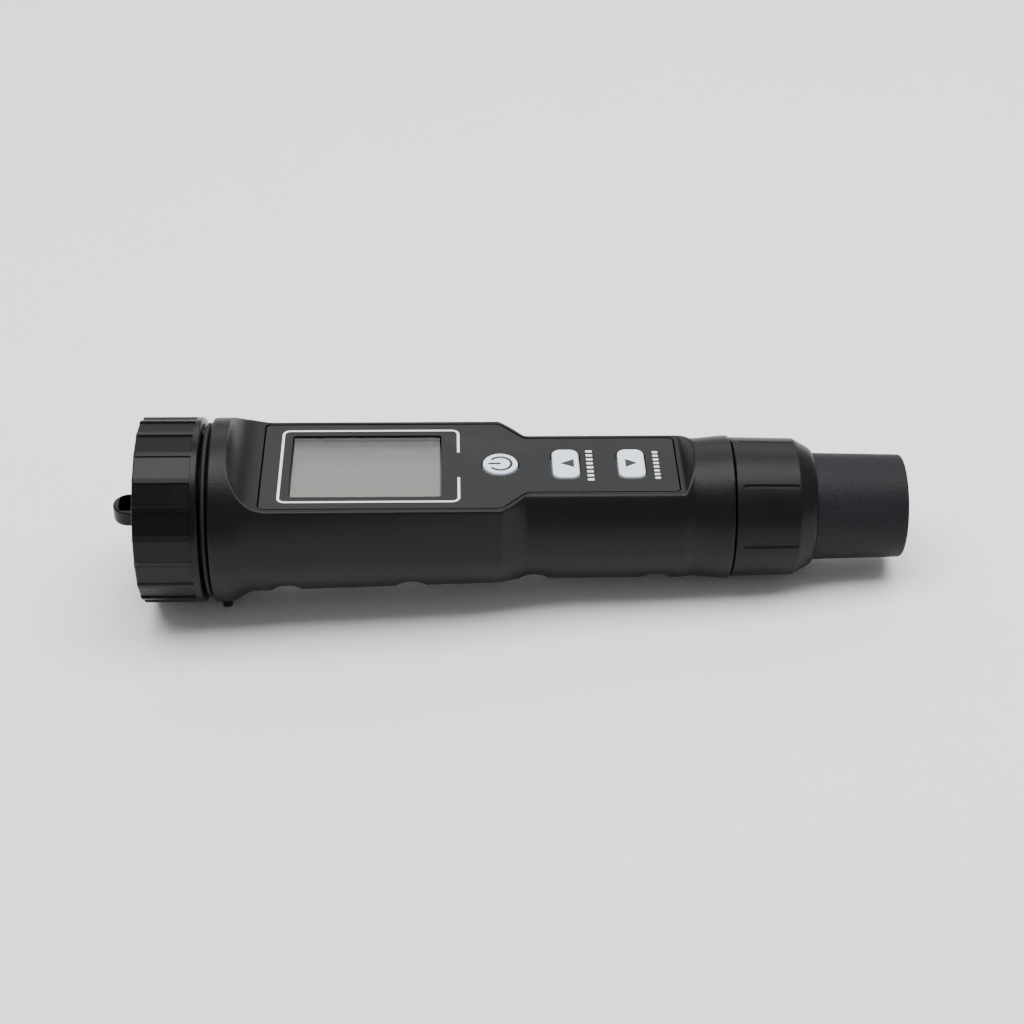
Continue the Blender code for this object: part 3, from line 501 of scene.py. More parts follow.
BEAD_HEIGHT, BEAD_WIDTH = 0.10 * MM, 0.45 * MM
RAMP_BLEND, SOFT_EDGE = 0.25 * MM, 0.45 * MM
FIT = 0.3 * MM


def ease(value, start, end):
    share = np.clip((value - start) / (end - start), 0.0, 1.0)
    return share * share * (3.0 - 2.0 * share)


def smooth_min(first, second, width):
    """The smaller of two, with the corner between them rounded off."""
    share = np.clip(0.5 + 0.5 * (second - first) / width, 0.0, 1.0)
    return second + (first - second) * share - width * share * (1.0 - share)


def soft_share(value, start, end, width=0.05):
    """A straight rise from 0 to 1 with its two corners rounded."""
    share = smooth_min((value - start) / (end - start), np.ones_like(value), width)
    return -smooth_min(-share, np.zeros_like(share), width)


print("notches at mm", [round(x / MM, 1) for x in NOTCHES])

# %% [markdown]
# The section blends from one oval to the next along X, with the finger notches bitten out of its
# back. The cut is the set of planes and one round scoop that the face's tool leaves. Both give a
# plain number of metres, so halving the range along each ray closes in on the surface.

# %% The housing's section and its cut
def oval(angle, half_width, depth, crown):
    """Distance from the axis to a section made of half an oval below and half of one above."""
    height = np.where(np.sin(angle) < 0, depth, crown)
    return ((np.cos(angle) / half_width) ** 2 + (np.sin(angle) / height) ** 2) ** -0.5


def section(x, angle):
    """The housing's surface before its face is cut."""
    along = np.clip((x - FLARE[1]) / (STEP[0] - FLARE[1]), 0.0, 1.0)
    depth = (WIDE_DEPTH_MM[0] + (WIDE_DEPTH_MM[1] - WIDE_DEPTH_MM[0]) * along) * MM
    half_width = (WIDE_HALF_MM[0] + (WIDE_HALF_MM[1] - WIDE_HALF_MM[0]) * along) * MM
    crown = FACE / np.sqrt(1.0 - (FACE_HALF / half_width) ** 2)
    limit = HEAD_RADIUS + (WIDE_CORNER - HEAD_RADIUS) * ease(x, FLARE[0], SCOOP_FOOT)
    wide = smooth_min(oval(angle, half_width, depth, crown), limit, WIDE_BLEND)
    narrow = oval(angle, *NARROW_OVAL)
    neck = NECK_RADIUS + NECK_GROWTH * ease(x, NECK[1], NECK_END)
    flare = ease(x, *FLARE)
    head = HEAD_RADIUS + (wide - HEAD_RADIUS) * flare
    body = wide + (narrow - wide) * soft_share(x, *STEP)
    body = body + BEAD_HEIGHT * np.exp(-(((x - STEP[1]) / BEAD_WIDTH) ** 2))
    body = body + (neck - body) * ease(x, *NECK)
    nearest = np.min([np.abs(x - centre) for centre in NOTCHES], axis=0)
    arch = np.maximum(0.0, 1.0 - (nearest / NOTCH_HALF) ** 2)
    bite = np.where(x < STEP[0], *NOTCH_DEPTHS) * arch * ease(-np.sin(angle), 0.30, 0.78)
    return np.where(x <= FLARE[1], head, body) - bite


def under_face(x, z):
    """How far a point is below the cut: the scoop, the flat face and the ramp up to the neck."""
    lift = FACE + SCOOP_RADIUS
    scoop = np.hypot(x - SCOOP_FOOT, z - lift) - SCOOP_RADIUS
    scoop = np.where(z > lift, SCOOP_FOOT - SCOOP_RADIUS - x, scoop)
    flat = FACE - z
    ramp = (FACE + (x - RAMP_FOOT) * RAMP_RISE - z) / sqrt(1.0 + RAMP_RISE**2)
    open_part = -smooth_min(-flat, -ramp, RAMP_BLEND)
    return np.where(x < SCOOP_FOOT, scoop, open_part)


def housing_radius(x, angle):
    """Halves the range along each ray until the smooth depth is zero."""
    low, high = np.full_like(angle, 6.0 * MM), np.full_like(angle, 22.0 * MM)
    outer = section(x, angle)
    for _ in range(26):
        middle = (low + high) / 2
        depth = smooth_min(outer - middle, under_face(x, middle * np.sin(angle)), SOFT_EDGE)
        inside = depth > 0
        low, high = np.where(inside, middle, low), np.where(inside, high, middle)
    return (low + high) / 2


print("radius over the display in mm", housing_radius(np.array([-0.12]), np.array([pi / 2])) / MM)

# %% [markdown]
# A grid shows a crisp edge only where its lines are close. We list where along the pen and round it
# the spacing changes, which puts most of the faces at the scoop, the step and the panel's edges,
# and few on the plain stretches between.

# %% Rows, columns and the outer skin
def spaced(stops):
    """Numbers that run through (start, step) stops, each step used up to the next start."""
    values = []
    for (start, step), (end, _) in zip(stops, stops[1:]):
        count = max(1, round((end - start) / step))
        values += [start + (end - start) * index / count for index in range(count)]
    return values + [stops[-1][0]]


side = spaced([(-90.0, 3.0), (-63.0, 2.0), (-15.0, 3.0), (24.0, 0.8), (54.0, 2.0), (90.0, 2.0)])
degrees = side + [180.0 - value for value in reversed(side[1:-1])]
angles = np.radians(np.array(degrees))

FIELD_START, FIELD_END = HEAD_START + 0.6 * MM, NECK_END - 0.4 * MM
stops = [
    (-150.2, 0.8), (-148.6, 0.22), (-136.0, 0.5), (-131.4, 2.2), (-111.6, 0.5), (-104.6, 2.2),
    (-89.2, 0.18), (-82.4, 0.5), (-77.6, 2.2), (-57.8, 0.5), (-50.8, 0.22), (-43.0, 0.6), (-38.7, 0.6),
]
rows = np.array(spaced(stops)) * MM
grid_x, grid_a = np.meshgrid(rows, angles, indexing="ij")
radii = housing_radius(grid_x, grid_a)


def corner(x, radius, size, start, end, steps=4):
    """Rings round a convex corner. The corner's own point is (x, radius), angles in degrees."""
    turns = [radians(start + (end - start) * step / steps) for step in range(steps + 1)]
    side_x = -1.0 if cos(turns[0]) + cos(turns[-1]) < 0 else 1.0
    return [(x - side_x * size + size * cos(t), radius - size + size * sin(t)) for t in turns]


rings = corner(SPIGOT_START, SPIGOT_RADIUS, 0.4 * MM, 180, 90)
rings += [(HEAD_START, SPIGOT_RADIUS)]
rings += corner(HEAD_START, HEAD_RADIUS, 0.6 * MM, 180, 90)[:-1]
rings += [(x, radii[index]) for index, x in enumerate(rows)]
rings += [(NECK_END - 0.1 * MM, radii[-1] - 0.10 * MM), (NECK_END, radii[-1] - 0.4 * MM)]
rings += [(NECK_END, NOSE_RADIUS), (NOSE_END - FIT, NOSE_RADIUS), (NOSE_END, NOSE_RADIUS - FIT)]
rings = [(float(x), r if np.ndim(r) else float(r)) for x, r in rings]
shell = roll(rings, [float(a) for a in angles])
print("outer skin", len(shell.faces), "faces")

# %% [markdown]
# The panel sits in a recess, and under it the housing is hollow. Those cuts have crisp edges on the
# real moulding too, because the tool's steel there is ground flat, so they are Booleans.

# %% Cut the recess, the hollow and the bores
PANEL = (-140.0 * MM, -50.2 * MM)
PANEL_WIDE, PANEL_NARROW, PANEL_THICK, PANEL_CORNER = 15.7 * MM, 10.0 * MM, 1.6 * MM, 0.9 * MM


def plate(outline, bottom, top, rounding=0.0, steps=4):
    """An outline of (x, y) corners raised along Z, with its upright edges rounded."""
    bm = bmesh.new()
    base = bm.faces.new([bm.verts.new((x, y, bottom)) for x, y in outline])
    raised = bmesh.ops.extrude_face_region(bm, geom=[base])["geom"]
    tops = [item for item in raised if isinstance(item, bmesh.types.BMVert)]
    bmesh.ops.translate(bm, verts=tops, vec=(0, 0, top - bottom))
    if rounding:
        upright = {
            edge for vert in tops for edge in vert.link_edges
            if abs(edge.verts[0].co.z - edge.verts[1].co.z) > 0.5 * (top - bottom)
        }
        bmesh.ops.bevel(
            bm, geom=list(upright), offset=rounding, affect="EDGES", segments=steps, profile=0.5,
            material=-1,
        )
    bmesh.ops.recalc_face_normals(bm, faces=bm.faces)
    return bm


def panel_outline(margin):
    wide, narrow = PANEL_WIDE + margin, PANEL_NARROW + margin
    near = [
        (PANEL[0] - margin, -wide), (STEP[0] + margin / 2, -wide),
        (STEP[1] + margin / 2, -narrow), (PANEL[1] + margin, -narrow),
    ]
    return near + [(x, -y) for x, y in reversed(near)]


def rectangle(start, end, half):
    return [(start, -half), (end, -half), (end, half), (start, half)]


def bore(start, end, radius, sides=96):
    """A plain cylinder along X, used as a cutter."""
    place = Matrix.Translation(((start + end) / 2, 0, 0)) @ Matrix.Rotation(pi / 2, 4, "Y")
    bm = bmesh.new()
    bmesh.ops.create_cone(
        bm, cap_ends=True, segments=sides, radius1=radius, radius2=radius, depth=end - start,
        matrix=place,
    )
    return bm


HOLLOW = (-141.9 * MM, -49.5 * MM)
HOLLOW_TOP, WALL, LEDGE = 8.4 * MM, 2.6 * MM, 1.4 * MM
CUTTER_TOP = 14 * MM
hollow_angles = [2 * pi * index / 64 for index in range(64)]
hollow_rings = []
for x in (HOLLOW[0], STEP[0], STEP[1], HOLLOW[1]):
    ring = []
    for a in hollow_angles:
        reach = float(section(np.array([x + 0.4 * MM]), np.array([a]))[0]) - WALL
        ring.append(min(reach, HOLLOW_TOP / sin(a)) if sin(a) > 0.001 else reach)
    hollow_rings.append((x, ring))
shell = cut(shell, roll(hollow_rings, hollow_angles))
shell = cut(shell, plate(panel_outline(-LEDGE), 7.0 * MM, CUTTER_TOP))
shell = cut(shell, plate(panel_outline(FIT), FACE - PANEL_THICK - FIT, CUTTER_TOP, PANEL_CORNER + FIT))
shell = cut(shell, bore(-170 * MM, -143.6 * MM, 11.9 * MM))
shell = cut(shell, bore(-51 * MM, -20 * MM, 10.4 * MM))
shell = cut(shell, bore(-146 * MM, -140 * MM, 1.6 * MM, 24))
finish("housing_shell", shell, housing_skin, "housing", ["main_housing"], 40)

# %% [markdown]
# ## Threads and seal
#
# Lifting the cap or the collar shows a screw thread. A thread is one small tooth swept along a
# helix, and the spin operator does that when it is also given a step along its axis. The tooth has
# to stay inside the clearance between the two parts.

# %% Sweep the threads
THREAD_PITCH, TOOTH_FOOT, TOOTH_TIP = 3 * MM, 0.55 * MM, 0.22 * MM


def thread(name, start, turns, radius, height):
    """A tooth swept round the housing from start, so many turns towards the probe."""
    steps = 96
    bm = bmesh.new()
    outline = [
        (-TOOTH_FOOT, -0.1 * MM), (-TOOTH_TIP, height), (TOOTH_TIP, height), (TOOTH_FOOT, -0.1 * MM)
    ]
    tooth = bm.faces.new([bm.verts.new((start + x, 0.0, radius + z)) for x, z in outline])
    bmesh.ops.spin(
        bm, geom=[tooth, *tooth.edges, *tooth.verts], axis=(1, 0, 0), cent=(0, 0, 0),
        dvec=(THREAD_PITCH / steps, 0, 0), angle=2 * pi * turns, steps=int(steps * turns), use_merge=False,
    )
    finish(name, bm, housing_skin, "housing")


thread("cap_thread", -160.6 * MM, 1.75, SPIGOT_RADIUS, 0.24 * MM)
thread("collar_thread", -36.6 * MM, 2.5, NOSE_RADIUS, 0.18 * MM)

# %% [markdown]
# A rubber seal ring is an oval circle spun round the pen's axis. A foot is a short post with its
# rim rolled over by a bevel. The feet take their place and size from the imported model, and the
# rings are given theirs.

# %% Turn the seal rings and the feet
def ring_of(name, x, radius, half_length, half_height, node, body):
    """A rubber ring of oval section."""
    bm = bmesh.new()
    bmesh.ops.create_circle(bm, segments=20, radius=1.0)
    flat = Matrix.Rotation(pi / 2, 4, "X")
    place = Matrix.Translation((x, 0, radius)) @ Matrix.Diagonal((half_length, 1.0, half_height, 1.0))
    bmesh.ops.transform(bm, matrix=place @ flat, verts=bm.verts)
    bmesh.ops.spin(
        bm, geom=[*bm.verts, *bm.edges], axis=(1, 0, 0), cent=(0, 0, 0), angle=2 * pi, steps=128,
        use_merge=True,
    )
    bmesh.ops.remove_doubles(bm, verts=bm.verts, dist=0.001 * MM)
    finish(name, bm, rubber.material, body, [node], 60)


ring_of("cap_ring", -151.75 * MM, 18.1 * MM, 0.62 * MM, 1.0 * MM, "battery_cap_seal", "cap_slip")
ring_of("rear_ring", -43.0 * MM, 9.7 * MM, 0.6 * MM, 0.4 * MM, "probe_seal_rear", "housing")
ring_of("front_ring", -15.5 * MM, 8.45 * MM, 0.6 * MM, 0.55 * MM, "probe_seal_front", "housing")


def soften(bm, width, segments=3, sharper_than=50):
    """Bevels the edges whose faces meet at more than an angle."""
    sharp = [edge for edge in bm.edges if edge.calc_face_angle(0.0) > radians(sharper_than)]
    bmesh.ops.bevel(
        bm, geom=sharp, offset=width, affect="EDGES", segments=segments, profile=0.5, material=-1
    )
    return bm


for name in ("near", "far"):
    low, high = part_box(f"foot_{name}")
    middle = (low + high) / 2
    bm = bmesh.new()
    radius = (high.x - low.x) / 2
    bmesh.ops.create_cone(
        bm, cap_ends=True, segments=40, radius1=radius, radius2=radius, depth=high.z - low.z,
        matrix=Matrix.Translation(middle),
    )
    soften(bm, 0.5 * MM, 5)
    finish(f"rubber_foot_{name}", bm, rubber.material, "housing", [f"foot_{name}"])

# %% [markdown]
# ## The battery cap
#
# Twenty shallow pockets leave thin ribs for the fingers. Their floors are flat, so each catches the
# light as one facet. The cap is a rolled grid too, with columns placed at each pocket's wall, and a
# pocket is a depth subtracted where a soft mask is 1.

# %% Pockets cut into rolled walls
BETWEEN = 0.97  # where the spare column stands, as a share of the way to the next pocket


def pocketed_columns(count, phase, half, ramp, inner):
    """Angles with extra columns at each pocket's two walls. half and ramp are angles too."""
    offsets = [half + ramp * share for share in (1.4, 1.0, 0.66, 0.33, 0.0, -0.5)]
    offsets += [half * inner, 0.0]
    steps = sorted({value for offset in offsets for value in (-offset, offset)})
    pitch = 2 * pi / count
    found = []
    for index in range(count):
        centre = phase + index * pitch
        found += [centre + step for step in steps] + [centre + pitch / 2 * BETWEEN]
    return sorted(found)


def mask(distance, half, ramp):
    """1 within half of the middle, 0 past half + ramp, and soft at both corners."""
    return 1.0 - ease(distance, half, half + ramp)


CAP_END, CAP_RIM, CAP_RADIUS, CAP_BORE = -166.5 * MM, -152.7 * MM, 20.3 * MM, 17.0 * MM
POCKETS, POCKET_HALF, POCKET_DEEP, POCKET_STOP = 20, 2.50 * MM, 0.55 * MM, -154.3 * MM
POCKET_RAMP = 0.16 * MM
cap_angles = np.array(
    pocketed_columns(POCKETS, pi / POCKETS, POCKET_HALF / CAP_RADIUS, POCKET_RAMP / CAP_RADIUS, 0.5)
)
pitch = 2 * pi / POCKETS
from_middle = np.abs((cap_angles - pi / POCKETS + pitch / 2) % pitch - pitch / 2)
floor_radius = (CAP_RADIUS - POCKET_DEEP) / np.cos(from_middle)
sideways = mask(from_middle * CAP_RADIUS, POCKET_HALF, POCKET_RAMP)

outline = [(CAP_END, 0.0), (CAP_END, 12 * MM), (CAP_END, 18.6 * MM)]
outline += corner(CAP_END, CAP_RADIUS, 0.45 * MM, 180, 90, 5)
outline += [(x * MM, CAP_RADIUS) for x in (-164.0, -160.0, -156.5, -154.8)]
outline += [(POCKET_STOP + share * POCKET_RAMP, CAP_RADIUS) for share in (-1.0, -0.66, -0.33, 0.0, 0.5)]
outline += [(-154.0 * MM, CAP_RADIUS)]
outline += corner(CAP_RIM, CAP_RADIUS, 0.8 * MM, 90, 0, 6)
outline += [(CAP_RIM, CAP_BORE + 0.3 * MM), (CAP_RIM - 0.3 * MM, CAP_BORE)]
outline += [(CAP_END + 2.7 * MM, CAP_BORE), (CAP_END + 2.7 * MM, 0.0)]
cap_rings = []
for index, (x, radius) in enumerate(outline):
    lengthways = float(ease(np.array(POCKET_STOP - x), 0.0, POCKET_RAMP))
    outside = radius > 17.5 * MM and x < POCKET_STOP + POCKET_RAMP
    inset = CAP_RADIUS - radius
    sunk = np.full_like(cap_angles, radius)
    if outside:
        sunk = np.minimum(radius, floor_radius - 0.6 * inset)
    cap_rings.append((x, radius + (sunk - radius) * sideways * lengthways))
cap = roll(cap_rings, list(cap_angles))
finish("cap_shell", cap, cap_skin, "cap", ["battery_cap"], 50)

# %% [markdown]
# The lanyard eye is a loop moulded on the cap's end. It is an outline with a round nose, raised,
# cut through with a rounded slot, and then softened on all its edges.

# %% Shape the lanyard eye
EYE_REACH, EYE_HALF, EYE_THICK = 6.7 * MM, 3.6 * MM, 1.9 * MM
SLOT_FAR, SLOT_NEAR, SLOT_HALF, SLOT_CORNER = 5.1 * MM, 0.2 * MM, 2.4 * MM, 1.2 * MM
nose = [radians(90 + 180 * step / 20) for step in range(21)]
middle_x = CAP_END - EYE_REACH + EYE_HALF
outline = [(middle_x + EYE_HALF * cos(a), EYE_HALF * sin(a)) for a in nose]
outline += [(CAP_END + 1 * MM, -EYE_HALF), (CAP_END + 1 * MM, EYE_HALF)]
slot = rectangle(CAP_END - SLOT_FAR, CAP_END - SLOT_NEAR, SLOT_HALF)
slot_cut = plate(slot, -5 * MM, 5 * MM, SLOT_CORNER, 6)
eye = cut(plate(outline, -EYE_THICK, EYE_THICK), slot_cut)
bmesh.ops.remove_doubles(eye, verts=eye.verts, dist=0.01 * MM)
finish("lanyard_loop", soften(eye, 0.5 * MM, 4, 60), cap_skin, "cap", crease=40)

# %% [markdown]
# ## The collar and the probe cap
#
# The collar locks the probe in. Seven narrow grooves give it grip, and its front is a wide chamfer.
# The probe cap is a plain cup that narrows a little towards its end, with a rounded edge.

# %% Roll the collar
COLLAR_START, COLLAR_FRONT, COLLAR_BORE, MOUTH = -38.0 * MM, -20.1 * MM, 13.5 * MM, 12.1 * MM
COLLAR_WIDE, COLLAR_NARROW, COLLAR_CHAMFER = 15.35 * MM, 15.05 * MM, -24.1 * MM
GROOVES, GROOVE_HALF, GROOVE_DEEP, GROOVE_PHASE = 7, 0.20 * MM, 0.34 * MM, radians(127.5)
GROOVE_SPAN, GROOVE_RAMP = (-36.3 * MM, -24.6 * MM), 0.26 * MM
LIP_X, LIP_RADIUS, CHAMFER_BLEND = -21.2 * MM, 13.4 * MM, 0.20 * MM
half, ramp = GROOVE_HALF / COLLAR_WIDE, GROOVE_RAMP / COLLAR_WIDE
columns = pocketed_columns(GROOVES, GROOVE_PHASE, half, ramp, 0.4)
columns += [2 * pi * index / 120 for index in range(120)]
pitch = 2 * pi / GROOVES
columns = sorted(value % (2 * pi) for value in columns)
collar_angles = [columns[0]]
for value in columns[1:]:
    if value - collar_angles[-1] > 0.002:
        collar_angles.append(value)
collar_angles = np.array(collar_angles)
from_groove = np.abs((collar_angles - GROOVE_PHASE + pitch / 2) % pitch - pitch / 2) * COLLAR_WIDE
sideways = mask(from_groove, GROOVE_HALF, GROOVE_RAMP)

outline = [(COLLAR_START, COLLAR_BORE + 0.2 * MM)]
outline += corner(COLLAR_START, COLLAR_WIDE, 0.45 * MM, 180, 90)
for x in (-36.8, -36.3, -36.2, -36.1, -36.0, -35.0, -32.5, -30.0, -27.0, -25.0):
    share = (x * MM - COLLAR_START) / (COLLAR_CHAMFER - COLLAR_START)
    outline.append((x * MM, COLLAR_WIDE + (COLLAR_NARROW - COLLAR_WIDE) * share))
slant = (COLLAR_NARROW - LIP_RADIUS) / (COLLAR_CHAMFER - LIP_X)
for x in (-24.7, -24.6, -24.5, -24.4, -24.3, -24.2, -24.1, -24.0, -23.9, -23.7, -22.8, -22.0, -21.3):
    flat = COLLAR_NARROW + 0.01 * MM
    slope_here = COLLAR_NARROW + slant * (x * MM - COLLAR_CHAMFER)
    outline.append((x * MM, float(smooth_min(flat, slope_here, CHAMFER_BLEND))))
lip = ((-20.9, 13.2), (-20.6, 13.0), (-20.35, 12.8), (-20.2, 12.6))
outline += [(x * MM, radius * MM) for x, radius in lip] + [(COLLAR_FRONT, 12.4 * MM)]
outline += [(COLLAR_FRONT, MOUTH + 0.1 * MM), (COLLAR_FRONT - 0.1 * MM, MOUTH)]
outline += [(-22.9 * MM, MOUTH), (-22.9 * MM, COLLAR_BORE), (COLLAR_START + 0.2 * MM, COLLAR_BORE)]
outline += [outline[0]]
collar_rings = []
for x, radius in outline:
    start = float(ease(np.array(x), GROOVE_SPAN[0], GROOVE_SPAN[0] + 0.3 * MM))
    end = 1.0 - float(ease(np.array(x), GROOVE_SPAN[1], GROOVE_SPAN[1] + 0.3 * MM))
    deep = GROOVE_DEEP if radius > 14 * MM else 0.0
    collar_rings.append((x, radius - deep * start * end * sideways))
collar = roll(collar_rings, list(collar_angles))
finish("collar_shell", collar, collar_skin, "collar", ["probe_collar"], 50)

# %% [markdown]
# The probe cap has nothing but round surfaces, so here a plain spin of its profile is enough.
# Merging closes the seam where the spin meets its start, and the poles on the axis.

# %% Spin the probe cap
def turned(profile):
    """Spins (x, radius) points round the pen's axis into a closed body."""
    bm = bmesh.new()
    verts = [bm.verts.new((x, 0.0, radius)) for x, radius in profile]
    edges = [bm.edges.new(pair) for pair in zip(verts, verts[1:])]
    bmesh.ops.spin(
        bm, geom=[*verts, *edges], axis=(1, 0, 0), cent=(0, 0, 0), angle=2 * pi, steps=160,
        use_merge=True,
    )
    bmesh.ops.remove_doubles(bm, verts=bm.verts, dist=0.001 * MM)
    return bm


COVER_START, COVER_WIDE, COVER_END, COVER_BORE, COVER_FLOOR = (
    -21.2 * MM, 11.8 * MM, 11.35 * MM, 9.4 * MM, 2.0 * MM
)
outline = [(0.0, 0.0), (0.0, 5 * MM)]
outline += corner(0.0, COVER_END, 0.5 * MM, 0, 90, 6)
outline += [(-10 * MM, (COVER_WIDE + COVER_END) / 2)]
outline += corner(COVER_START, COVER_WIDE, 0.25 * MM, 90, 180, 3)
outline += [(COVER_START, COVER_BORE), (-COVER_FLOOR, COVER_BORE), (-COVER_FLOOR, 0.0)]
cover = turned(outline)
finish("probe_cover_shell", cover, cover_skin, "probe_cover", ["probe_cap"])

# %% [markdown]
# ## The front panel, its window and its print
#
# The panel is one plate with a window and three key holes. The prints are thin raised films, a few
# hundredths of a millimetre thick, as screen-printed ink really is. The words beside the keys are
# left out, and rows of plain bars stand in their place.

# %% Cut the panel
KEYS = {"hold": -74.3 * MM, "mode": -60.0 * MM}
POWER_X, POWER_RADIUS = -88.5 * MM, 3.8 * MM
KEY_HALF_X, KEY_HALF_Y, KEY_CORNER = 2.9 * MM, 5.2 * MM, 1.9 * MM

CUTTER = (8 * MM, CUTTER_TOP)

panel = plate(panel_outline(0.0), FACE - PANEL_THICK, FACE, PANEL_CORNER, 6)
opening = rectangle(WINDOW_LOW.x - FIT, WINDOW_HIGH.x + FIT, WINDOW_HIGH.y + FIT)
panel = cut(panel, plate(opening, *CUTTER, 0.6 * MM, 5))
for x in KEYS.values():
    hole = rectangle(x - KEY_HALF_X - FIT, x + KEY_HALF_X + FIT, KEY_HALF_Y + FIT)
    panel = cut(panel, plate(hole, *CUTTER, KEY_CORNER + FIT, 8))


def round_post(x, radius, bottom, top):
    """An upright cylinder on the pen's middle line."""
    bm = bmesh.new()
    bmesh.ops.create_cone(
        bm, cap_ends=True, segments=72, radius1=radius, radius2=radius, depth=top - bottom,
        matrix=Matrix.Translation((x, 0, (bottom + top) / 2)),
    )
    return bm


panel = cut(panel, round_post(POWER_X, POWER_RADIUS + FIT, *CUTTER))
bmesh.ops.dissolve_limit(panel, angle_limit=radians(0.5), verts=panel.verts, edges=panel.edges)
rim = [
    edge for edge in panel.edges
    if all(vert.co.z > FACE - 0.01 * MM for vert in edge.verts) and edge.calc_face_angle(0.0) > 1.0
]
bmesh.ops.bevel(panel, geom=rim, offset=0.12 * MM, affect="EDGES", segments=2, profile=0.5, material=-1)
finish("panel_plate", panel, panel_skin, "housing", ["front_panel"], 35)

# %% [markdown]
# The window is a clear plate let into the panel. Its tiny bevel is what shows that glass is there,
# because the flat of it is almost invisible from above.

# %% Fit the window
glass = rectangle(WINDOW_LOW.x, WINDOW_HIGH.x, WINDOW_HIGH.y)
glass = soften(plate(glass, WINDOW_LOW.z, WINDOW_HIGH.z, 0.3 * MM, 3), 0.08 * MM, 2)
finish("window_lens", glass, window.material, "housing", ["display_lens"])

# %% [markdown]
# A silicone key is a cap on a wide thin flange, which the panel holds down. We start from a plate
# or a post as wide as the flange, inset its top, and raise that inset face into the cap. The
# shoulder is bevelled round, and the face is sunk slightly so that a fingertip finds it.

# %% Raise the keys
KEY_TOP, KEY_BASE, KEY_SHOULDER, KEY_FLANGE = 12.0 * MM, 8.6 * MM, 9.5 * MM, 0.7 * MM
KEY_ROUNDING, KEY_DISH = 0.32 * MM, 0.07 * MM


def key_cap(name, blank, body, node):
    """Raises the cap from its flange, rounds its shoulder and sinks its face a little."""
    top = max(blank.faces, key=lambda face: (round(face.calc_center_median().z, 6), face.calc_area()))
    bmesh.ops.inset_individual(blank, faces=[top], thickness=KEY_FLANGE, use_even_offset=True)
    raised = bmesh.ops.extrude_face_region(blank, geom=[top])["geom"]
    verts = [item for item in raised if isinstance(item, bmesh.types.BMVert)]
    face = next(item for item in raised if isinstance(item, bmesh.types.BMFace))
    bmesh.ops.delete(blank, geom=[top], context="FACES_ONLY")
    bmesh.ops.translate(blank, verts=verts, vec=(0, 0, KEY_TOP - KEY_SHOULDER))
    bmesh.ops.bevel(
        blank, geom=list(face.edges), offset=KEY_ROUNDING, affect="EDGES", segments=5, profile=0.5,
        material=-1,
    )
    face = max(blank.faces, key=lambda item: (round(item.calc_center_median().z, 6), item.calc_area()))
    bmesh.ops.inset_individual(blank, faces=[face], thickness=0.18 * MM, use_even_offset=True)
    bmesh.ops.inset_individual(
        blank, faces=[face], thickness=0.14 * MM, depth=-KEY_DISH, use_even_offset=True
    )
    finish(name, blank, key.material, body, [node], 50)


for name, x in KEYS.items():
    reach = KEY_HALF_X + KEY_FLANGE
    outline = rectangle(x - reach, x + reach, KEY_HALF_Y + KEY_FLANGE)
    blank = plate(outline, KEY_BASE, KEY_SHOULDER, KEY_CORNER + KEY_FLANGE, 10)
    key_cap(f"{name}_cap", blank, f"{name}_button", f"{name}_key")
blank = round_post(POWER_X, POWER_RADIUS + KEY_FLANGE, KEY_BASE, KEY_SHOULDER)
key_cap("power_cap", blank, "power_button", "power_key")

# %% [markdown]
# The power sign is a ring with a gap and a short line, and the arrows are plain triangles. Each is
# a thin solid that starts just under the key's face, so that no light leaks between.

# %% Print the symbols on the keys
INK, KEY_FACE = 0.03 * MM, KEY_TOP - KEY_DISH
PRINT = (KEY_FACE - 0.02 * MM, KEY_FACE + INK)


def join(first, second):
    """Adds a second mesh to the first as a separate body."""
    mesh = bpy.data.meshes.new("join")
    second.to_mesh(mesh)
    second.free()
    first.from_mesh(mesh)
    bpy.data.meshes.remove(mesh)
    return first


for name, point, base in (("hold", -75.5 * MM, -72.5 * MM), ("mode", -58.75 * MM, -61.3 * MM)):
    arrow = plate([(point, 0.0), (base, 1.5 * MM), (base, -1.5 * MM)], *PRINT)
    finish(f"{name}_arrow", arrow, dark_ink.material, f"{name}_button")

bm = bmesh.new()
stroke, ring_radius, gap = 0.30 * MM, 2.4 * MM, radians(37)
reach = [(ring_radius - stroke, PRINT[0]), (ring_radius + stroke, PRINT[0])]
reach += [(ring_radius + stroke, PRINT[1]), (ring_radius - stroke, PRINT[1])]
start = pi + gap
places = [(POWER_X + radius * cos(start), radius * sin(start), z) for radius, z in reach]
stroke_end = bm.faces.new([bm.verts.new(place) for place in places])
bmesh.ops.spin(
    bm, geom=[stroke_end, *stroke_end.edges, *stroke_end.verts], axis=(0, 0, 1), cent=(POWER_X, 0, 0),
    angle=2 * pi - 2 * gap, steps=56, use_merge=False,
)
line = plate(rectangle(-91.1 * MM, -88.4 * MM, stroke), *PRINT)
finish("power_symbol", join(bm, line), dark_ink.material, "power_button")

# %% [markdown]
# The white line round the window is a rounded rectangle's rim with a gap on one side. An inset
# makes the rim from one face, two cuts free the gap, and an extrusion gives the ink its height.

# %% Print the frame line and the bars
FRAME_X, FRAME_Y, FRAME_LINE, FRAME_CORNER = (-136.3 * MM, -97.3 * MM), 13.6 * MM, 0.55 * MM, 1.7 * MM
GAP_Y = (-4.6 * MM, 4.8 * MM)


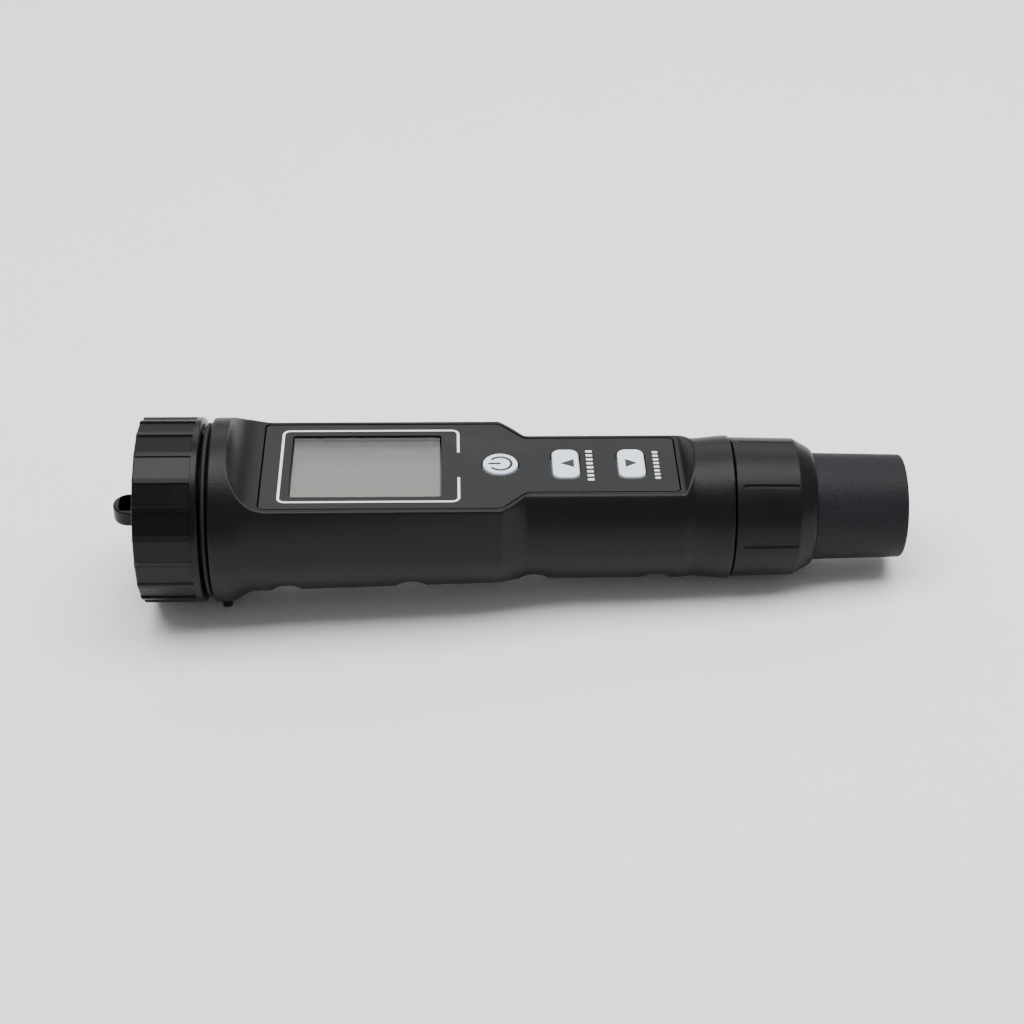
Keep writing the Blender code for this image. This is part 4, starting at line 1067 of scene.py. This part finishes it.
def frame_line():
    """A rounded rectangle's rim, cut open on its right side and raised by the ink's height."""
    bm = bmesh.new()
    outline = rectangle(FRAME_X[0], FRAME_X[1], FRAME_Y)
    face = bm.faces.new([bm.verts.new((x, y, FACE - 0.01 * MM)) for x, y in outline])
    bmesh.ops.bevel(
        bm, geom=list(face.verts), offset=FRAME_CORNER, affect="VERTICES", segments=8, profile=0.5,
        material=-1,
    )
    face = bm.faces[:][0]
    bmesh.ops.inset_individual(bm, faces=[face], thickness=FRAME_LINE, use_even_offset=True)
    bmesh.ops.delete(bm, geom=[face], context="FACES_ONLY")
    for y in GAP_Y:
        everything = [*bm.verts, *bm.edges, *bm.faces]
        bmesh.ops.bisect_plane(bm, geom=everything, plane_co=(0, y, 0), plane_no=(0, 1, 0))
    lost = [
        f for f in bm.faces
        if f.calc_center_median().x > -110 * MM and GAP_Y[0] < f.calc_center_median().y < GAP_Y[1]
    ]
    bmesh.ops.delete(bm, geom=lost, context="FACES")
    raised = bmesh.ops.extrude_face_region(bm, geom=bm.faces[:])["geom"]
    tops = [item for item in raised if isinstance(item, bmesh.types.BMVert)]
    bmesh.ops.translate(bm, verts=tops, vec=(0, 0, INK))
    return bm


finish("window_frame_line", frame_line(), white_ink.material, "housing")

BARS, BAR_SHARE = 8, 0.52
for name, start, end, half in (
    ("hold_bars", -69.75 * MM, -68.35 * MM, 6.0 * MM), ("mode_bars", -55.15 * MM, -53.95 * MM, 5.5 * MM)
):
    bm = bmesh.new()
    pitch = 2 * half / BARS
    for index in range(BARS):
        low = -half + index * pitch
        high = low + BAR_SHARE * pitch
        corners = [(start, low), (end, low), (end, high), (start, high)]
        join(bm, plate(corners, FACE - 0.01 * MM, FACE + INK, 0.12 * MM, 2))
    finish(name, bm, white_ink.material, "housing")

# %% [markdown]
# ## The pieces inside
#
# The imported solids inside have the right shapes, so they only need a fine edge and a finish. A
# copy of each is merged, its flat faces are joined again, and a narrow bevel catches the light.
# The sponge is foam, so it is shaped on its own: a disc with a crowned, open-pored face.

# %% Refine the inner pieces
FINE_EDGE = 0.08 * MM


def refined(node, material, body, width):
    """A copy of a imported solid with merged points, joined flats and softened edges."""
    bm = bmesh.new()
    bm.from_mesh(nodes[node].data)
    bmesh.ops.remove_doubles(bm, verts=bm.verts, dist=0.002 * MM)
    bmesh.ops.dissolve_limit(bm, angle_limit=radians(1.0), verts=bm.verts, edges=bm.edges)
    if width:
        soften(bm, width, 2, 60)
    finish(f"{node}_fine", bm, material, body, [node], 35)


INNER = (
    (inner_skin, "inner_plastic", "battery_carrier lcd_frame board_cradle probe_socket"),
    (display.material, "lcd_grey", "lcd_glass"),
    (reflector.material, "reflector_white", "lcd_reflector"),
    (rubber.material, "seal_rubber", "contact_strip_near contact_strip_far keypad_mat probe_gasket"),
    (board.material, "board_green", "main_board"),
    (chip_skin, "chip_black", "processor_chip amplifier_chip buzzer"),
    (steel_skin, "contact_steel", "switch_power switch_hold switch_mode board_screw_rear"),
    (steel_skin, "contact_steel", "board_screw_front bay_contact temperature_pin battery_spring"),
    (probe_skin, "probe_plastic", "probe_plug probe_body"),
    (bulb.material, "bulb_glass", "glass_bulb"),
    (cell_skin, "cell_steel", "coin_cell_1 coin_cell_2 coin_cell_3 coin_cell_4"),
)
PLAIN = ("battery_spring", "glass_bulb", "keypad_mat", "coin_cell")
for material, slot, names in INNER:
    for node in names.split():
        width = 0.0 if node.startswith(PLAIN) else FINE_EDGE
        refined(node, material, "housing", width)
refined("cap_contact", steel_skin, "cap", 0.0)
refined("collar_washer", inner_skin, "collar_slip", 0.0)

# %% [markdown]
# The sponge that keeps the glass bulb wet is a small cut disc. It fills its cup, so it neither sags
# nor drapes: we subdivide a cylinder and move its ends by a crown and a slow wave.

# %% Shape the storage sponge
CROWN, LUMP, LUMP_WAVES = 0.10 * MM, 0.05 * MM, (9000, 8300)
low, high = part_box("storage_sponge")
radius = (high.y - low.y) / 2 - 0.1 * MM
place = Matrix.Translation(((low.x + high.x) / 2, 0, 0)) @ Matrix.Rotation(pi / 2, 4, "Y")
bm = bmesh.new()
bmesh.ops.create_cone(
    bm, cap_ends=True, cap_tris=True, segments=64, radius1=radius, radius2=radius,
    depth=high.x - low.x - 0.3 * MM, matrix=place,
)
long_edges = [edge for edge in bm.edges if edge.calc_length() > 2 * MM]
bmesh.ops.subdivide_edges(bm, edges=long_edges, cuts=5, use_grid_fill=True)
for vert in bm.verts:
    out = sqrt(vert.co.y**2 + vert.co.z**2) / radius
    wave = sin(vert.co.y * LUMP_WAVES[0]) * sin(vert.co.z * LUMP_WAVES[1])
    crown = CROWN * (1 - out**2) + LUMP * wave
    vert.co.x += crown if vert.co.x > (low.x + high.x) / 2 else -crown
disc = soften(bm, 0.3 * MM, 3)
pad = finish("sponge_disc", disc, sponge.material, "probe_cover", ["storage_sponge"])

# %% [markdown]
#
# The floor is a pale matte sheet with hardly any pattern. Last, we write the imported model's box and
# the finished model's box side by side.

# %% Finish the floor and write the sizes
paper = Paint("paper_skin", Specular_IOR_Level=0.2)
paper.colour(paper.blend(paper.noise(20 * MM), (0.93, 0.932, 0.935), (0.95, 0.952, 0.955)))
paper.roughness(0.75 + paper.noise(2 * MM) * 0.1)
floor.data.materials.append(paper.material)

look_box = [list(corner_point) for corner_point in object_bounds()]
for name, found in (("packed", cad_box), ("finished", look_box)):
    print(name, [[round(v / MM, 2) for v in point] for point in found])
